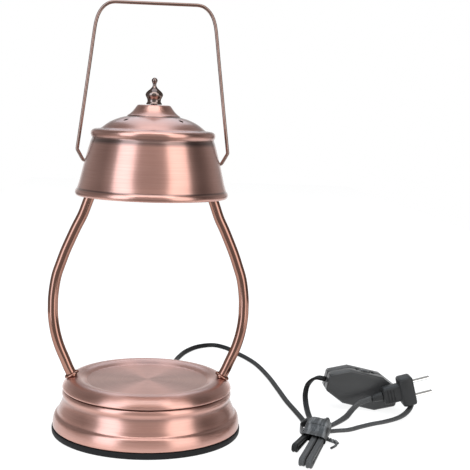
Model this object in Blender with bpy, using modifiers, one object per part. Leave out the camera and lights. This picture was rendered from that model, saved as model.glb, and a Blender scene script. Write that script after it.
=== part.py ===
"""A candle warmer lamp in brushed copper: a halogen bulb in a bell shade melts a jar candle from above.

The lamp's axis is Z, its foot stands on z = 0 and the bail lies across X. All lengths are in metres.
"""
import math

import bmesh
import bpy
import numpy
from mathutils import Matrix, Vector

for old in list(bpy.data.objects):
    bpy.data.objects.remove(old, do_unlink=True)

# General sizes
GAP = 0.0003                    # between pieces that touch
OVERRUN = 0.002                 # how far a cut runs past the piece
MERGE = 0.00005                 # welds seams only
WALL = 0.001                    # spun sheet of shade, base and dish
TURN_STEPS = 32
SMALL_STEPS = 16
BORE_SIDES = 16

# Foot and base
FOOT_RADIUS = 0.075
FOOT_HEIGHT = 0.0053
FOOT_WIDTH = 0.015              # radial width of the rubber ring
FOOT_LIP_WIDTH = 0.009          # outer part of it that carries the shell
FOOT_LEDGE_HEIGHT = 0.0028      # inner part of it that carries the cover
SHELL_INSET = 0.0008            # the shell's edge stands this far inside the foot's
SHELL_RADIUS = FOOT_RADIUS - SHELL_INSET
SHELL_NECK_RADIUS = FOOT_RADIUS - 0.0085
SHELL_TOP = 0.0348
DECK_HOLE_RADIUS = 0.020
HEM_WIDTH = 0.0222
COVER_SCREW_COUNT = 3
COVER_SCREW_RADIUS = 0.0015
COVER_HEAD_RADIUS = 0.0028
COVER_HEAD_HEIGHT = 0.0012
COVER_SCREW_LENGTH = 0.007
SCREW_CLEARANCE = 0.0003        # all round a screw or a rod in its hole

# Dish that the candle stands on
DISH_RADIUS = FOOT_RADIUS - 0.0080
RING_CREST_RADIUS = DISH_RADIUS - 0.0125
RING_CREST_HEIGHT = 0.0438
PLATE_RADIUS = RING_CREST_RADIUS - 0.0069
PLATE_TOP = 0.0408

# Shade
SHADE_RIM_RADIUS = 0.0592
SHADE_RIM_HEIGHT = 0.191        # where the wall ends and the rim bead starts
SHADE_BOTTOM = 0.1862
RIM_ROLL = 0.0006
NECK_RADIUS = 0.0473
NECK_HEIGHT = 0.233
SHOULDER_RADIUS = 0.0482
GROOVE_RADIUS = 0.0412
GROOVE_HEIGHT = 0.2392
CAP_FOOT_RADIUS = 0.020
CAP_FOOT_HEIGHT = 0.2496
CAP_TOP_RADIUS = 0.0127
CAP_TOP = 0.2582
VENT_COUNT = 4
VENT_RADIUS = 0.00175
VENT_CIRCLE_RADIUS = 0.0295

# Arms
ARM_RADIUS = 0.004
ARM_WALL = 0.001
ARM_FOOT_REACH = RING_CREST_RADIUS + 0.0030
ARM_FOOT_HEIGHT = 0.024
ARM_BELLY_REACH = ARM_FOOT_REACH + 0.0178
ARM_BELLY_HEIGHT = 0.100
ARM_TOP_REACH = NECK_RADIUS - 0.0093
ARM_END_RISE = 0.0062           # the threaded end above the crossbar's wings
ARM_LEAD = 0.0018               # straight tube below the lock nut
COLLAR_RADIUS = 0.0058
COLLAR_HEIGHT = 0.0020
NUT_FLATS = 0.011
NUT_HEIGHT = 0.004

# Rod, nuts and finial
ROD_RADIUS = 0.0025
ROD_NUT_FLATS = 0.008
ROD_NUT_HEIGHT = 0.003
FINIAL_RADIUS = 0.0068
FINIAL_HEIGHT = 0.0205
FINIAL_BORE_DEPTH = 0.0080

# Crossbar and lamp holder
CROSSBAR_THICKNESS = 0.002
CROSSBAR_WIDTH = 0.014
CROSSBAR_WING_TOP = 0.230
CROSSBAR_TOP = 0.2471
CROSSBAR_HALF_LENGTH = ARM_TOP_REACH + 0.0055
CROSSBAR_LEG_REACH = 0.0165
CROSSBAR_BEND = 0.001
SOCKET_RADIUS = 0.0135
SOCKET_HEIGHT = 0.014
SOCKET_SCREW_RADIUS = 0.0012
SOCKET_SCREW_REACH = 0.0095
SOCKET_SCREW_DEPTH = 0.005
SOCKET_HEAD_RADIUS = 0.0022
SOCKET_HEAD_HEIGHT = 0.0015

# Bulb
BULB_LENGTH = 0.046             # from its face to its base, without the pins
BULB_RADIUS = 0.025
BULB_WALL = 0.0012
BULB_BOWL_HEIGHT = 0.0305
BULB_BOWL_TOP_RADIUS = 0.011
BULB_BOWL_HOLE_RADIUS = 0.007
LENS_THICKNESS = 0.0018
BULB_BASE_RADIUS = 0.0105
PIN_RADIUS = 0.0024
PIN_LENGTH = 0.007
PIN_PITCH = 0.010
CAPSULE_RADIUS = 0.0045
CAPSULE_LENGTH = 0.016

# Bail handle
BAIL_AXIS_HEIGHT = 0.214
BAIL_WIRE_RADIUS = 0.0013
BAIL_HOOK_REACH = 0.0484
BAIL_HOOK_DROP = 0.0046
BAIL_HOLE_REACH = 0.0531        # where the wire turns up outside the shade's hole
BAIL_ELBOW_REACH = 0.0583
BAIL_ELBOW_RISE = 0.0082
BAIL_LEG_REACH = 0.0460
BAIL_LEG_RISE = 0.1040
BAIL_TOP_REACH = 0.0290
BAIL_TOP_RISE = 0.1212
BAIL_BEND = 0.0030

# Wiring inside the lamp
WIRE_RADIUS = 0.001
TERMINAL_LENGTH = 0.020
TERMINAL_WIDTH = 0.014
TERMINAL_HEIGHT = 0.010
TERMINAL_PLACE = (-0.028, 0.020)
CORD_EXIT_HEIGHT = 0.0125
RELIEF_FLANGE_RADIUS = 0.0055
RELIEF_NECK_RADIUS = 0.0040
RELIEF_TIP_RADIUS = 0.0031
RELIEF_FLANGE_THICKNESS = 0.002
RELIEF_INSIDE = SHELL_RADIUS - 0.0062   # where its inner flange faces the shell's inner side
RELIEF_OUTSIDE = SHELL_RADIUS + 0.0006  # where its outer flange faces the shell's outer side
RELIEF_LENGTH = 0.022

# Flat twin cord
CORD_WIDTH = 0.005
CORD_THICKNESS = 0.0026
CORD_STEP = 0.014
CORD_BEND = math.radians(13)    # largest turn between two rings of a cord
ROLL_SPAN = 0.045               # length over which the cord turns from flat to on edge
LEAD_ROLL_SPAN = 0.40           # the same where it leaves the lamp
FLOOR_LEVEL = 0.0016            # height of the cord's middle where it lies on the floor

# In-line dimmer
DIMMER_LENGTH = 0.0635
DIMMER_HEIGHT = 0.030
DIMMER_DEPTH = 0.0233
DIMMER_FLAT = 0.029
DIMMER_END_HEIGHT = 0.0145
DIMMER_WALL = 0.0018
DIMMER_PLACE = (0.1876, 0.06605, 0.0181)
DIMMER_TILT = math.radians(12.3)
DIMMER_EDGE = 0.0012
WHEEL_RADIUS = 0.0122
WHEEL_THICKNESS = 0.0064
WHEEL_RISE = 0.0040
WHEEL_RIDGES = 30
WHEEL_RIDGE_DEPTH = 0.0006
WHEEL_SIDE_CLEARANCE = 0.0006
SHAFT_RADIUS = 0.0025
POT_RADIUS = 0.0080
POT_DEPTH = 0.0042
BOARD_LENGTH = 0.034
BOARD_HEIGHT = 0.020
POST_RADIUS = 0.0030
POST_REACH = 0.0215
DIMMER_SCREW_RADIUS = 0.0012
DIMMER_HEAD_RADIUS = 0.0023
DIMMER_HEAD_HEIGHT = 0.0014

# Plug
PLUG_PLACE = (0.2292, 0.0440, 0.0236)
PLUG_TILT = math.radians(15)
PLUG_HEAD_LENGTH = 0.0125
PLUG_HEAD_HEIGHT = 0.0250
PLUG_HEAD_DEPTH = 0.0160
PLUG_GRIP_LENGTH = 0.0150
PLUG_GRIP_HEIGHT = 0.0145
PLUG_GRIP_DEPTH = 0.0120
PLUG_RELIEF_LENGTH = 0.0090
PLUG_ROUNDING = 0.0022
RIB_COUNT = 3
RIB_PITCH = 0.0026
RIB_WIDTH = 0.0012
RIB_DEPTH = 0.0008
BLADE_PITCH = 0.0127
BLADE_WIDTH = 0.0063
BLADE_THICKNESS = 0.0015
BLADE_LENGTH = 0.0160
BLADE_ROOT = 0.0060
BLADE_CHAMFER = 0.0012

# Hank of cord and its tie
WAIST_PLACE = (0.1395, -0.009)
HANK_HEADING = math.radians(-108.5)
COLUMN_PITCH = 0.0058
LAYER_PITCH = 0.0031
FOLD_RADIUS = 0.0039
FIRST_FOLD_REACH = 0.0555       # from the waist to the end of each fold
SECOND_FOLD_REACH = 0.0840
THIRD_FOLD_REACH = 0.0870
FIRST_FOLD_TURN = math.radians(-5.1)
UPPER_FOLD_REACH = 0.0105       # on the other side of the waist
UPPER_FOLD_RADIUS = 0.0032
TIE_WIDTH = 0.0054              # over all its windings
TIE_OFFSET = 0.0062             # from the waist towards the folds
TIE_THICKNESS = 0.0008
TIE_TAIL_RADIUS = 0.0009


def new_collection(name):
    made = bpy.data.collections.new(name)
    bpy.context.scene.collection.children.link(made)
    return made


parts = new_collection("candle_warmer_lamp")
cutters = new_collection("cutters")


def material(name, colour, roughness, metallic=0.0):
    made = bpy.data.materials.new(name)
    made.use_nodes = True
    shader = made.node_tree.nodes["Principled BSDF"]
    shader.inputs["Base Color"].default_value = (*colour, 1.0)
    shader.inputs["Roughness"].default_value = roughness
    shader.inputs["Metallic"].default_value = metallic
    return made


def add(name, data, colour=None, group=parts):
    """Links a new object for mesh or curve data and gives it its own material."""
    made = bpy.data.objects.new(name, data)
    group.objects.link(made)
    if colour:
        data.materials.clear()
        data.materials.append(material(name, *colour))
    if group is cutters:
        made.hide_render = True
        made.display_type = "WIRE"
    return made


COPPER = ((0.53, 0.27, 0.19), 0.32, 1.0)
BRIGHT_COPPER = ((0.60, 0.30, 0.20), 0.12, 1.0)
STEEL = ((0.55, 0.55, 0.56), 0.35, 1.0)
BLACK_RUBBER = ((0.02, 0.02, 0.02), 0.75)
BLACK_PLASTIC = ((0.035, 0.036, 0.038), 0.45)
BRASS = ((0.70, 0.52, 0.25), 0.3, 1.0)
CERAMIC = ((0.85, 0.83, 0.78), 0.4)
GLASS = ((0.80, 0.82, 0.84), 0.1)
GREEN_BOARD = ((0.03, 0.20, 0.08), 0.5)


def turned(name, outline, colour=None, closed=True, wall=0.0, steps=TURN_STEPS, group=parts):
    """Turns an outline of (radius, height) about Z; its points run down the outer side."""
    mesh = bpy.data.meshes.new(name)
    count = len(outline)
    edges = [(i, i + 1) for i in range(count - 1)]
    if closed:
        edges.append((count - 1, 0))
    mesh.from_pydata([(radius, 0, height) for radius, height in outline], edges, [])
    made = add(name, mesh, colour, group)
    turn = made.modifiers.new("turn", "SCREW")
    turn.axis = "Z"
    turn.steps = steps
    turn.render_steps = steps
    turn.use_merge_vertices = True
    turn.merge_threshold = MERGE
    turn.use_smooth_shade = True
    if wall:
        sheet = made.modifiers.new("sheet", "SOLIDIFY")
        sheet.thickness = wall
        sheet.offset = -1
        sheet.use_even_offset = True
    return made


def spread(shares, start, end):
    """Places a table of (radius share, height share) between two (radius, height) points."""
    return [(start[0] + across * (end[0] - start[0]), start[1] + down * (end[1] - start[1]))
            for across, down in shares]


def cut(target, cutter, name="cut"):
    """Takes the cutter out of the target with a Boolean modifier."""
    trim = target.modifiers.new(name, "BOOLEAN")
    trim.operation = "DIFFERENCE"
    trim.object = cutter
    trim.solver = "EXACT"


def unite(target, tool):
    """Adds a helper solid to the target with a Boolean modifier."""
    join = target.modifiers.new("join", "BOOLEAN")
    join.operation = "UNION"
    join.object = tool
    join.solver = "EXACT"


def take(made, group):
    """Moves what an operator has just made into a collection and freezes its turn and scale."""
    for holder in list(made.users_collection):
        holder.objects.unlink(made)
    group.objects.link(made)
    bpy.context.view_layer.objects.active = made
    for other in bpy.context.selected_objects:
        other.select_set(False)
    made.select_set(True)
    bpy.ops.object.transform_apply(location=True, rotation=True, scale=True)
    if group is cutters:
        made.hide_render = True
        made.display_type = "WIRE"


def paint(made, name, colour):
    made.name = name
    made.data.name = name
    if colour:
        made.data.materials.append(material(name, *colour))
    return made


def rod(name, radius, start, end, colour=None, sides=BORE_SIDES, group=parts):
    """A cylinder from one point to another."""
    start, end = Vector(start), Vector(end)
    along = end - start
    bpy.ops.mesh.primitive_cylinder_add(vertices=sides, radius=radius, depth=along.length)
    made = bpy.context.active_object
    lean = along.to_track_quat("Z", "Y").to_matrix().to_4x4()
    made.matrix_world = Matrix.Translation((start + end) / 2) @ lean
    take(made, group)
    made.data.shade_smooth()
    made.data.set_sharp_from_angle(angle=math.radians(40))
    return paint(made, name, colour)


def block(name, size, centre, colour=None, rounding=0.0, group=parts):
    """A box with rounded edges."""
    bpy.ops.mesh.primitive_cube_add(size=1)
    made = bpy.context.active_object
    made.scale = size
    made.location = centre
    take(made, group)
    if rounding:
        edge = made.modifiers.new("edge", "BEVEL")
        edge.width = rounding
        edge.segments = 2
    return paint(made, name, colour)


def tube(name, points, radius, colour=None, caps=True, sides_level=2, group=parts):
    """A round wire or rail through the given points."""
    curve = bpy.data.curves.new(name, "CURVE")
    curve.dimensions = "3D"
    curve.bevel_depth = radius
    curve.bevel_resolution = sides_level
    curve.use_fill_caps = caps
    curve.render_resolution_u = 0
    line = curve.splines.new("POLY")
    line.points.add(len(points) - 1)
    for knot, point in zip(line.points, points):
        knot.co = (*point, 1.0)
    line.use_smooth = True
    return add(name, curve, colour, group)


def baked(made):
    """The object's mesh with its modifiers applied; the object itself is removed."""
    graph = bpy.context.evaluated_depsgraph_get()
    mesh = bpy.data.meshes.new_from_object(made.evaluated_get(graph))
    mesh.transform(made.matrix_world)
    bpy.data.objects.remove(made, do_unlink=True)
    return mesh


def welded(mesh):
    shape = bmesh.new()
    shape.from_mesh(mesh)
    bmesh.ops.remove_doubles(shape, verts=shape.verts, dist=MERGE)
    bmesh.ops.recalc_face_normals(shape, faces=shape.faces)
    shape.to_mesh(mesh)
    shape.free()
    return mesh


def copies(names, mesh, places, colour):
    """Equal pieces, one object for each name, at the places given as matrices."""
    mesh.shade_smooth()
    mesh.set_sharp_from_angle(angle=math.radians(40))
    made = []
    for name, place in zip(names, places):
        own = mesh.copy()
        own.name = name
        own.transform(place)
        made.append(add(name, own, colour))
    bpy.data.meshes.remove(mesh)
    return made


def hex_nut(flats, height, bore):
    """Mesh of a nut that stands on z = 0."""
    corner = flats / math.sqrt(3)
    body = rod("nut", corner, (0, 0, 0), (0, 0, height), sides=6)
    hole = rod("nut_hole", bore, (0, 0, -OVERRUN), (0, 0, height + OVERRUN), group=cutters)
    cut(body, hole)
    mesh = baked(body)
    bpy.data.objects.remove(hole, do_unlink=True)
    return mesh


def fine_route(points, pieces=16):
    """Points close together on a smooth curve through the given route."""
    knots = [Vector(point) for point in points]
    knots = [2 * knots[0] - knots[1]] + knots + [2 * knots[-1] - knots[-2]]
    fine = []
    for a, b, c, d in zip(knots, knots[1:], knots[2:], knots[3:]):
        times = [0.0]
        for first, second in ((a, b), (b, c), (c, d)):
            times.append(times[-1] + math.sqrt((second - first).length))
        t0, t1, t2, t3 = times
        for k in range(pieces):
            t = t1 + (t2 - t1) * k / pieces
            ab = a * ((t1 - t) / (t1 - t0)) + b * ((t - t0) / (t1 - t0))
            bc = b * ((t2 - t) / (t2 - t1)) + c * ((t - t1) / (t2 - t1))
            cd = c * ((t3 - t) / (t3 - t2)) + d * ((t - t2) / (t3 - t2))
            abc = ab * ((t2 - t) / (t2 - t0)) + bc * ((t - t0) / (t2 - t0))
            bcd = bc * ((t3 - t) / (t3 - t1)) + cd * ((t - t1) / (t3 - t1))
            fine.append(abc * ((t2 - t) / (t2 - t1)) + bcd * ((t - t1) / (t2 - t1)))
    fine.append(knots[-2])
    return fine


def smooth_route(points, step, bend=CORD_BEND):
    """The same curve with fewer points: a new one after each step or each bend, whichever comes first."""
    fine = fine_route(points)
    kept = [fine[0]]
    length, start = 0.0, fine[1] - fine[0]
    for here, onward in zip(fine[1:], fine[2:]):
        length = (here - kept[-1]).length
        if length >= step or start.angle(onward - here) >= bend:
            kept.append(here)
            start = onward - here
    if (fine[-1] - kept[-1]).length < CORD_THICKNESS / 2:
        kept.pop()
    return kept + [fine[-1]]


def flat_sides(points, start_roll=0.0, end_roll=0.0, span=ROLL_SPAN):
    """The direction of the cord's wide side at each point: level, or rolled on its edge at an end."""
    count = len(points)
    along = [(points[min(i + 1, count - 1)] - points[max(i - 1, 0)]).normalized() for i in range(count)]
    side = along[0].cross(Vector((0, 0, 1))).normalized()
    reach = [0.0]
    for first, second in zip(points, points[1:]):
        reach.append(reach[-1] + (second - first).length)
    sides = []
    for i, heading in enumerate(along):
        side = (side - heading * side.dot(heading)).normalized()
        side.z *= 0.4
        side = (side - heading * side.dot(heading)).normalized()
        ease = [max(0.0, 1 - d / span) for d in (reach[i], reach[-1] - reach[i])]
        ease = [e * e * (3 - 2 * e) for e in ease]
        sides.append(Matrix.Rotation(start_roll * ease[0] + end_roll * ease[1], 3, heading) @ side)
    return along, sides


def cord_section():
    """The cord's section as (along its wide side, across it) points."""
    half = (CORD_WIDTH - CORD_THICKNESS) / 2
    section = []
    for end in (1, -1):
        for turn in (-67.5, -22.5, 22.5, 67.5):
            angle = math.radians(turn if end > 0 else turn + 180)
            radius = CORD_THICKNESS / 2 / math.cos(math.radians(22.5))
            section.append((end * half + radius * math.cos(angle), radius * math.sin(angle)))
    return section


def flat_cord(name, points, start_roll=0.0, end_roll=0.0, span=ROLL_SPAN):
    """A flat twin lead: a stadium section lofted along the points.

    A curve's own twist can't keep the wide side level through an upright fold, so the rings are placed here.
    """
    along, sides = flat_sides(points, start_roll, end_roll, span)
    section = cord_section()
    shape = bmesh.new()
    rings = []
    for point, heading, side in zip(points, along, sides):
        up = side.cross(heading)
        rings.append([shape.verts.new(point + side * x + up * y) for x, y in section])
    for low, high in zip(rings, rings[1:]):
        for i in range(len(section)):
            j = (i + 1) % len(section)
            shape.faces.new((low[i], low[j], high[j], high[i]))
    shape.faces.new(rings[0][::-1])
    shape.faces.new(rings[-1])
    bmesh.ops.recalc_face_normals(shape, faces=shape.faces)
    mesh = bpy.data.meshes.new(name)
    shape.to_mesh(mesh)
    shape.free()
    mesh.shade_smooth()
    mesh.set_sharp_from_angle(angle=math.radians(50))
    return add(name, mesh, BLACK_RUBBER)


def cord_end(seat):
    """The first points of a cord that stands off a seat, given as a point and the way into the seat."""
    point, inward = seat
    return [point - inward * (GAP + CORD_WIDTH * share) for share in (0, 0.4, 0.8)]


def mirrored(point):
    return (-point[0], *point[1:])


# Rubber foot ring, with a ledge inside for the cover
foot_inner_radius = FOOT_RADIUS - FOOT_WIDTH
foot_lip_inner_radius = FOOT_RADIUS - FOOT_LIP_WIDTH
foot_ring = turned("foot_ring", [
    (foot_lip_inner_radius, FOOT_HEIGHT), (FOOT_RADIUS, FOOT_HEIGHT), (FOOT_RADIUS, 0),
    (foot_inner_radius, 0), (foot_inner_radius, FOOT_LEDGE_HEIGHT), (foot_lip_inner_radius, FOOT_LEDGE_HEIGHT),
], BLACK_RUBBER)

# Bottom cover, a disc that lies on the foot's ledge and is screwed to the shell's hem
cover_bottom = FOOT_LEDGE_HEIGHT + GAP
cover_top = FOOT_HEIGHT
cover_radius = foot_lip_inner_radius - GAP
base_cover = rod("base_cover", cover_radius, (0, 0, cover_bottom), (0, 0, cover_top), STEEL, sides=TURN_STEPS)

# Spun base shell: deck, bead, neck, flared skirt and the hem under it
shell_bottom = FOOT_HEIGHT + GAP
hem_inner_radius = SHELL_RADIUS - HEM_WIDTH
shell_wall_shares = [
    (-0.247, 0.0), (-0.013, 0.041), (0.065, 0.110), (0.0, 0.26), (0.091, 0.349),
    (0.273, 0.479), (0.506, 0.596), (0.766, 0.685), (0.935, 0.815), (1.0, 0.94), (1.0, 1.0),
]
shell_outline = [(DECK_HOLE_RADIUS, SHELL_TOP)]
shell_outline += spread(shell_wall_shares, (SHELL_NECK_RADIUS, SHELL_TOP), (SHELL_RADIUS, shell_bottom))
shell_outline += [(hem_inner_radius, shell_bottom)]
base_shell = turned("base_shell", shell_outline, COPPER, closed=False, wall=WALL)

# Screws that hold the cover to the hem
screw_circle_radius = hem_inner_radius + (foot_inner_radius - hem_inner_radius) / 2
screw_angles = [2 * math.pi * (i + 0.5) / COVER_SCREW_COUNT for i in range(COVER_SCREW_COUNT)]
screw_spots = [(screw_circle_radius * math.cos(a), screw_circle_radius * math.sin(a)) for a in screw_angles]
cover_screw = turned("cover_screw", [
    (0, COVER_SCREW_LENGTH), (COVER_SCREW_RADIUS, COVER_SCREW_LENGTH), (COVER_SCREW_RADIUS, 0),
    (COVER_HEAD_RADIUS, 0), (COVER_HEAD_RADIUS, -COVER_HEAD_HEIGHT), (0, -COVER_HEAD_HEIGHT),
], closed=False, steps=SMALL_STEPS)
screw_seat = cover_bottom - GAP
cover_screw_names = [f"cover_screw_{i + 1}" for i in range(COVER_SCREW_COUNT)]
cover_screws = copies(cover_screw_names, baked(cover_screw),
                      [Matrix.Translation((x, y, screw_seat)) for x, y in screw_spots], STEEL)
for x, y in screw_spots:
    screw_hole = rod("screw_hole", COVER_SCREW_RADIUS + SCREW_CLEARANCE, (x, y, 0),
                     (x, y, shell_bottom + WALL + OVERRUN), group=cutters)
    cut(base_cover, screw_hole)
    cut(base_shell, screw_hole)

# Dish: a spun plate with a raised ring, lying on the shell's shoulder
dish_bottom = SHELL_TOP + GAP
ring_rise_shares = [(0.0, 0.0), (0.23, 0.17), (0.52, 0.70), (0.75, 0.93), (1.0, 1.0)]
ring_fall_shares = [(0.24, 0.126), (0.504, 0.333), (0.744, 0.563), (0.92, 0.793), (1.0, 0.931), (0.984, 1.0)]
ring_crest = (RING_CREST_RADIUS, RING_CREST_HEIGHT)
dish_outline = [(0, PLATE_TOP)]
dish_outline += spread(ring_rise_shares, (PLATE_RADIUS, PLATE_TOP), ring_crest)
dish_outline += spread(ring_fall_shares, ring_crest, (DISH_RADIUS, dish_bottom))
candle_dish = turned("candle_dish", dish_outline, COPPER, closed=False, wall=WALL)

# Arms: two bent tubes from the base up into the shade
arm_rise_shares = [(0.0, 0.0), (0.0, 0.158), (0.10, 0.25), (0.281, 0.336), (0.433, 0.421), (0.674, 0.553),
                   (0.843, 0.678), (0.949, 0.803), (0.995, 0.92)]
arm_close_shares = [(0.0, 0.0), (0.024, 0.115), (0.072, 0.197), (0.155, 0.274), (0.247, 0.352),
                    (0.354, 0.430), (0.466, 0.507), (0.590, 0.585), (0.692, 0.672), (0.839, 0.794),
                    (0.92, 0.876), (0.98, 0.950), (1.0, 1.0)]
arm_belly = (ARM_BELLY_REACH, ARM_BELLY_HEIGHT)
arm_top_height = CROSSBAR_WING_TOP + ARM_END_RISE
arm_bend_end = CROSSBAR_WING_TOP - CROSSBAR_THICKNESS - GAP - NUT_HEIGHT - ARM_LEAD
arm_route = spread(arm_rise_shares, (ARM_FOOT_REACH, ARM_FOOT_HEIGHT), arm_belly)
arm_route += spread(arm_close_shares, arm_belly, (ARM_TOP_REACH, arm_bend_end))
arm_route += [(ARM_TOP_REACH, (arm_bend_end + arm_top_height) / 2), (ARM_TOP_REACH, arm_top_height)]
arm_points = smooth_route([(x, 0, z) for x, z in arm_route], arm_top_height / 20, math.radians(7))


def hollow_tube(name, points, colour):
    """A thin-walled tube along the points, open at both ends."""
    core = tube(name + "_core", points, ARM_RADIUS, caps=False)
    mesh = welded(baked(core))
    made = add(name, mesh, colour)
    sheet = made.modifiers.new("sheet", "SOLIDIFY")
    sheet.thickness = ARM_WALL
    sheet.offset = -1
    return made


right_arm = hollow_tube("right_arm", arm_points, BRIGHT_COPPER)
left_arm = hollow_tube("left_arm", [mirrored(point) for point in arm_points], BRIGHT_COPPER)


def height_at(points, height):
    """The point and heading where the arm passes a height."""
    for low, high in zip(points, points[1:]):
        if low.z <= height <= high.z:
            share = (height - low.z) / (high.z - low.z)
            return low.lerp(high, share), (high - low).normalized()


# Where the arms pass the dish and the deck, and the collars that cover the holes
collar_spot, collar_heading = height_at([Vector(p) for p in arm_points], RING_CREST_HEIGHT)
deck_spot, deck_heading = height_at([Vector(p) for p in arm_points], SHELL_TOP)
for side in (1, -1):
    flip = Vector((side, 1, 1))
    spot, heading = collar_spot * flip, collar_heading * flip
    reach = heading * (2 * COLLAR_RADIUS)
    dish_hole = rod("dish_hole", ARM_RADIUS + 2 * GAP, spot - reach, spot + reach, group=cutters)
    deck_hole = rod("deck_hole", ARM_RADIUS + GAP, deck_spot * flip - Vector((0, 0, WALL + OVERRUN)),
                    deck_spot * flip + Vector((0, 0, OVERRUN)), group=cutters)
    cut(candle_dish, dish_hole)
    cut(base_shell, deck_hole)
    collar = turned("right_collar" if side > 0 else "left_collar", [
        (ARM_RADIUS + GAP, COLLAR_HEIGHT), (ARM_RADIUS + GAP + COLLAR_HEIGHT / 2, COLLAR_HEIGHT),
        (COLLAR_RADIUS, COLLAR_HEIGHT / 2), (COLLAR_RADIUS, 0), (ARM_RADIUS + GAP, 0),
    ], BRIGHT_COPPER, steps=SMALL_STEPS)
    collar.matrix_world = Matrix.Translation(spot) @ heading.to_track_quat("Z", "Y").to_matrix().to_4x4()

# Crossbar inside the shade: two wings that the arms carry, and a raised middle over the lamp holder
crossbar_path = [(CROSSBAR_HALF_LENGTH, CROSSBAR_WING_TOP),
                 (CROSSBAR_LEG_REACH + CROSSBAR_BEND, CROSSBAR_WING_TOP),
                 (CROSSBAR_LEG_REACH, CROSSBAR_WING_TOP + CROSSBAR_BEND),
                 (CROSSBAR_LEG_REACH, CROSSBAR_TOP - CROSSBAR_BEND),
                 (CROSSBAR_LEG_REACH - CROSSBAR_BEND, CROSSBAR_TOP)]
crossbar_path += [(-x, z) for x, z in reversed(crossbar_path)]


def strip(name, path, width, thickness, colour):
    """A sheet strip bent along a path of (x, z), its thickness below the path."""
    shape = bmesh.new()
    rows = [[shape.verts.new((x, side * width / 2, z)) for side in (-1, 1)] for x, z in path]
    for first, second in zip(rows, rows[1:]):
        shape.faces.new((first[0], first[1], second[1], second[0]))
    mesh = bpy.data.meshes.new(name)
    shape.to_mesh(mesh)
    shape.free()
    made = add(name, mesh, colour)
    sheet = made.modifiers.new("sheet", "SOLIDIFY")
    sheet.thickness = thickness
    sheet.offset = -1
    sheet.use_even_offset = True
    return made


crossbar = strip("crossbar", crossbar_path, CROSSBAR_WIDTH, CROSSBAR_THICKNESS, STEEL)
wing_bottom = CROSSBAR_WING_TOP - CROSSBAR_THICKNESS
for side in (1, -1):
    wing_hole = rod("wing_hole", ARM_RADIUS + GAP, (side * ARM_TOP_REACH, 0, wing_bottom - OVERRUN),
                    (side * ARM_TOP_REACH, 0, CROSSBAR_WING_TOP + OVERRUN), group=cutters)
    cut(crossbar, wing_hole)

# Nuts on the arms' threaded ends: under the deck, and above and below the crossbar
deck_bottom = SHELL_TOP - WALL
nut_turn = Matrix.Rotation(math.radians(30), 4, "Z")


def nut_place(x, z):
    return Matrix.Translation((x, 0, z)) @ nut_turn


lower_places = [nut_place(side * ARM_FOOT_REACH, deck_bottom - GAP - NUT_HEIGHT) for side in (1, -1)]
copies(("right_base_nut", "left_base_nut"), hex_nut(NUT_FLATS, NUT_HEIGHT, ARM_RADIUS + GAP),
       lower_places, BRASS)
upper_places = [nut_place(side * ARM_TOP_REACH, z) for side in (1, -1)
                for z in (CROSSBAR_WING_TOP + GAP, wing_bottom - GAP - NUT_HEIGHT)]
copies(("right_top_nut", "right_lock_nut", "left_top_nut", "left_lock_nut"),
       hex_nut(NUT_FLATS, NUT_HEIGHT, ARM_RADIUS + GAP), upper_places, BRASS)

# Threaded rod from the crossbar through the shade's top, with its two nuts
cap_inside = CAP_TOP - WALL
rod_bottom = CROSSBAR_TOP - CROSSBAR_THICKNESS + GAP
finial_bottom = CAP_TOP + GAP
rod_top = finial_bottom + FINIAL_BORE_DEPTH - GAP
centre_rod = rod("centre_rod", ROD_RADIUS, (0, 0, rod_bottom), (0, 0, rod_top), STEEL)
rod_hole_radius = ROD_RADIUS + SCREW_CLEARANCE
copies(("rod_lower_nut", "rod_upper_nut"), hex_nut(ROD_NUT_FLATS, ROD_NUT_HEIGHT, rod_hole_radius),
       [Matrix.Translation((0, 0, z)) for z in (CROSSBAR_TOP + GAP, cap_inside - GAP - ROD_NUT_HEIGHT)], BRASS)
rod_hole = rod("rod_hole", rod_hole_radius, (0, 0, CROSSBAR_TOP - CROSSBAR_THICKNESS - OVERRUN),
               (0, 0, CROSSBAR_TOP + OVERRUN), group=cutters)
cut(crossbar, rod_hole)

# Spun shade: cap, dome, shoulder bead, flared wall and rolled rim
cap_shares = [(0.0, 0.0), (0.12, 0.14), (0.45, 0.56), (1.0, 1.0)]
dome_shares = [(0.07, 0.058), (0.505, 0.346), (0.76, 0.635), (1.0, 1.0)]
shoulder_shares = [(0.686, 0.097), (1.0, 0.355), (1.0, 0.645)]
wall_shares = [(0.0, 0.0), (0.092, 0.083), (0.353, 0.361), (0.672, 0.726), (0.798, 0.867), (0.916, 0.943),
               (1.0, 1.0)]
rim_share = 0.625
cap_foot = (CAP_FOOT_RADIUS, CAP_FOOT_HEIGHT)
groove = (GROOVE_RADIUS, GROOVE_HEIGHT)
shade_outline = [(rod_hole_radius, CAP_TOP)]
shade_outline += spread(cap_shares, (CAP_TOP_RADIUS, CAP_TOP), cap_foot)
shade_outline += spread(dome_shares, cap_foot, groove)
shade_outline += spread(shoulder_shares, groove, (SHOULDER_RADIUS, NECK_HEIGHT))
shade_outline += spread(wall_shares, (NECK_RADIUS, NECK_HEIGHT), (SHADE_RIM_RADIUS, SHADE_RIM_HEIGHT))
shade_outline += [(SHADE_RIM_RADIUS, SHADE_RIM_HEIGHT - rim_share * (SHADE_RIM_HEIGHT - SHADE_BOTTOM)),
                  (SHADE_RIM_RADIUS - RIM_ROLL, SHADE_BOTTOM)]
shade = turned("shade", shade_outline, COPPER, closed=False, wall=WALL)
for i in range(VENT_COUNT):
    turn = 2 * math.pi * (i + 0.5) / VENT_COUNT
    x, y = VENT_CIRCLE_RADIUS * math.cos(turn), VENT_CIRCLE_RADIUS * math.sin(turn)
    vent = rod("vent", VENT_RADIUS, (x, y, NECK_HEIGHT), (x, y, CAP_TOP), sides=12, group=cutters)
    cut(shade, vent)
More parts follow.
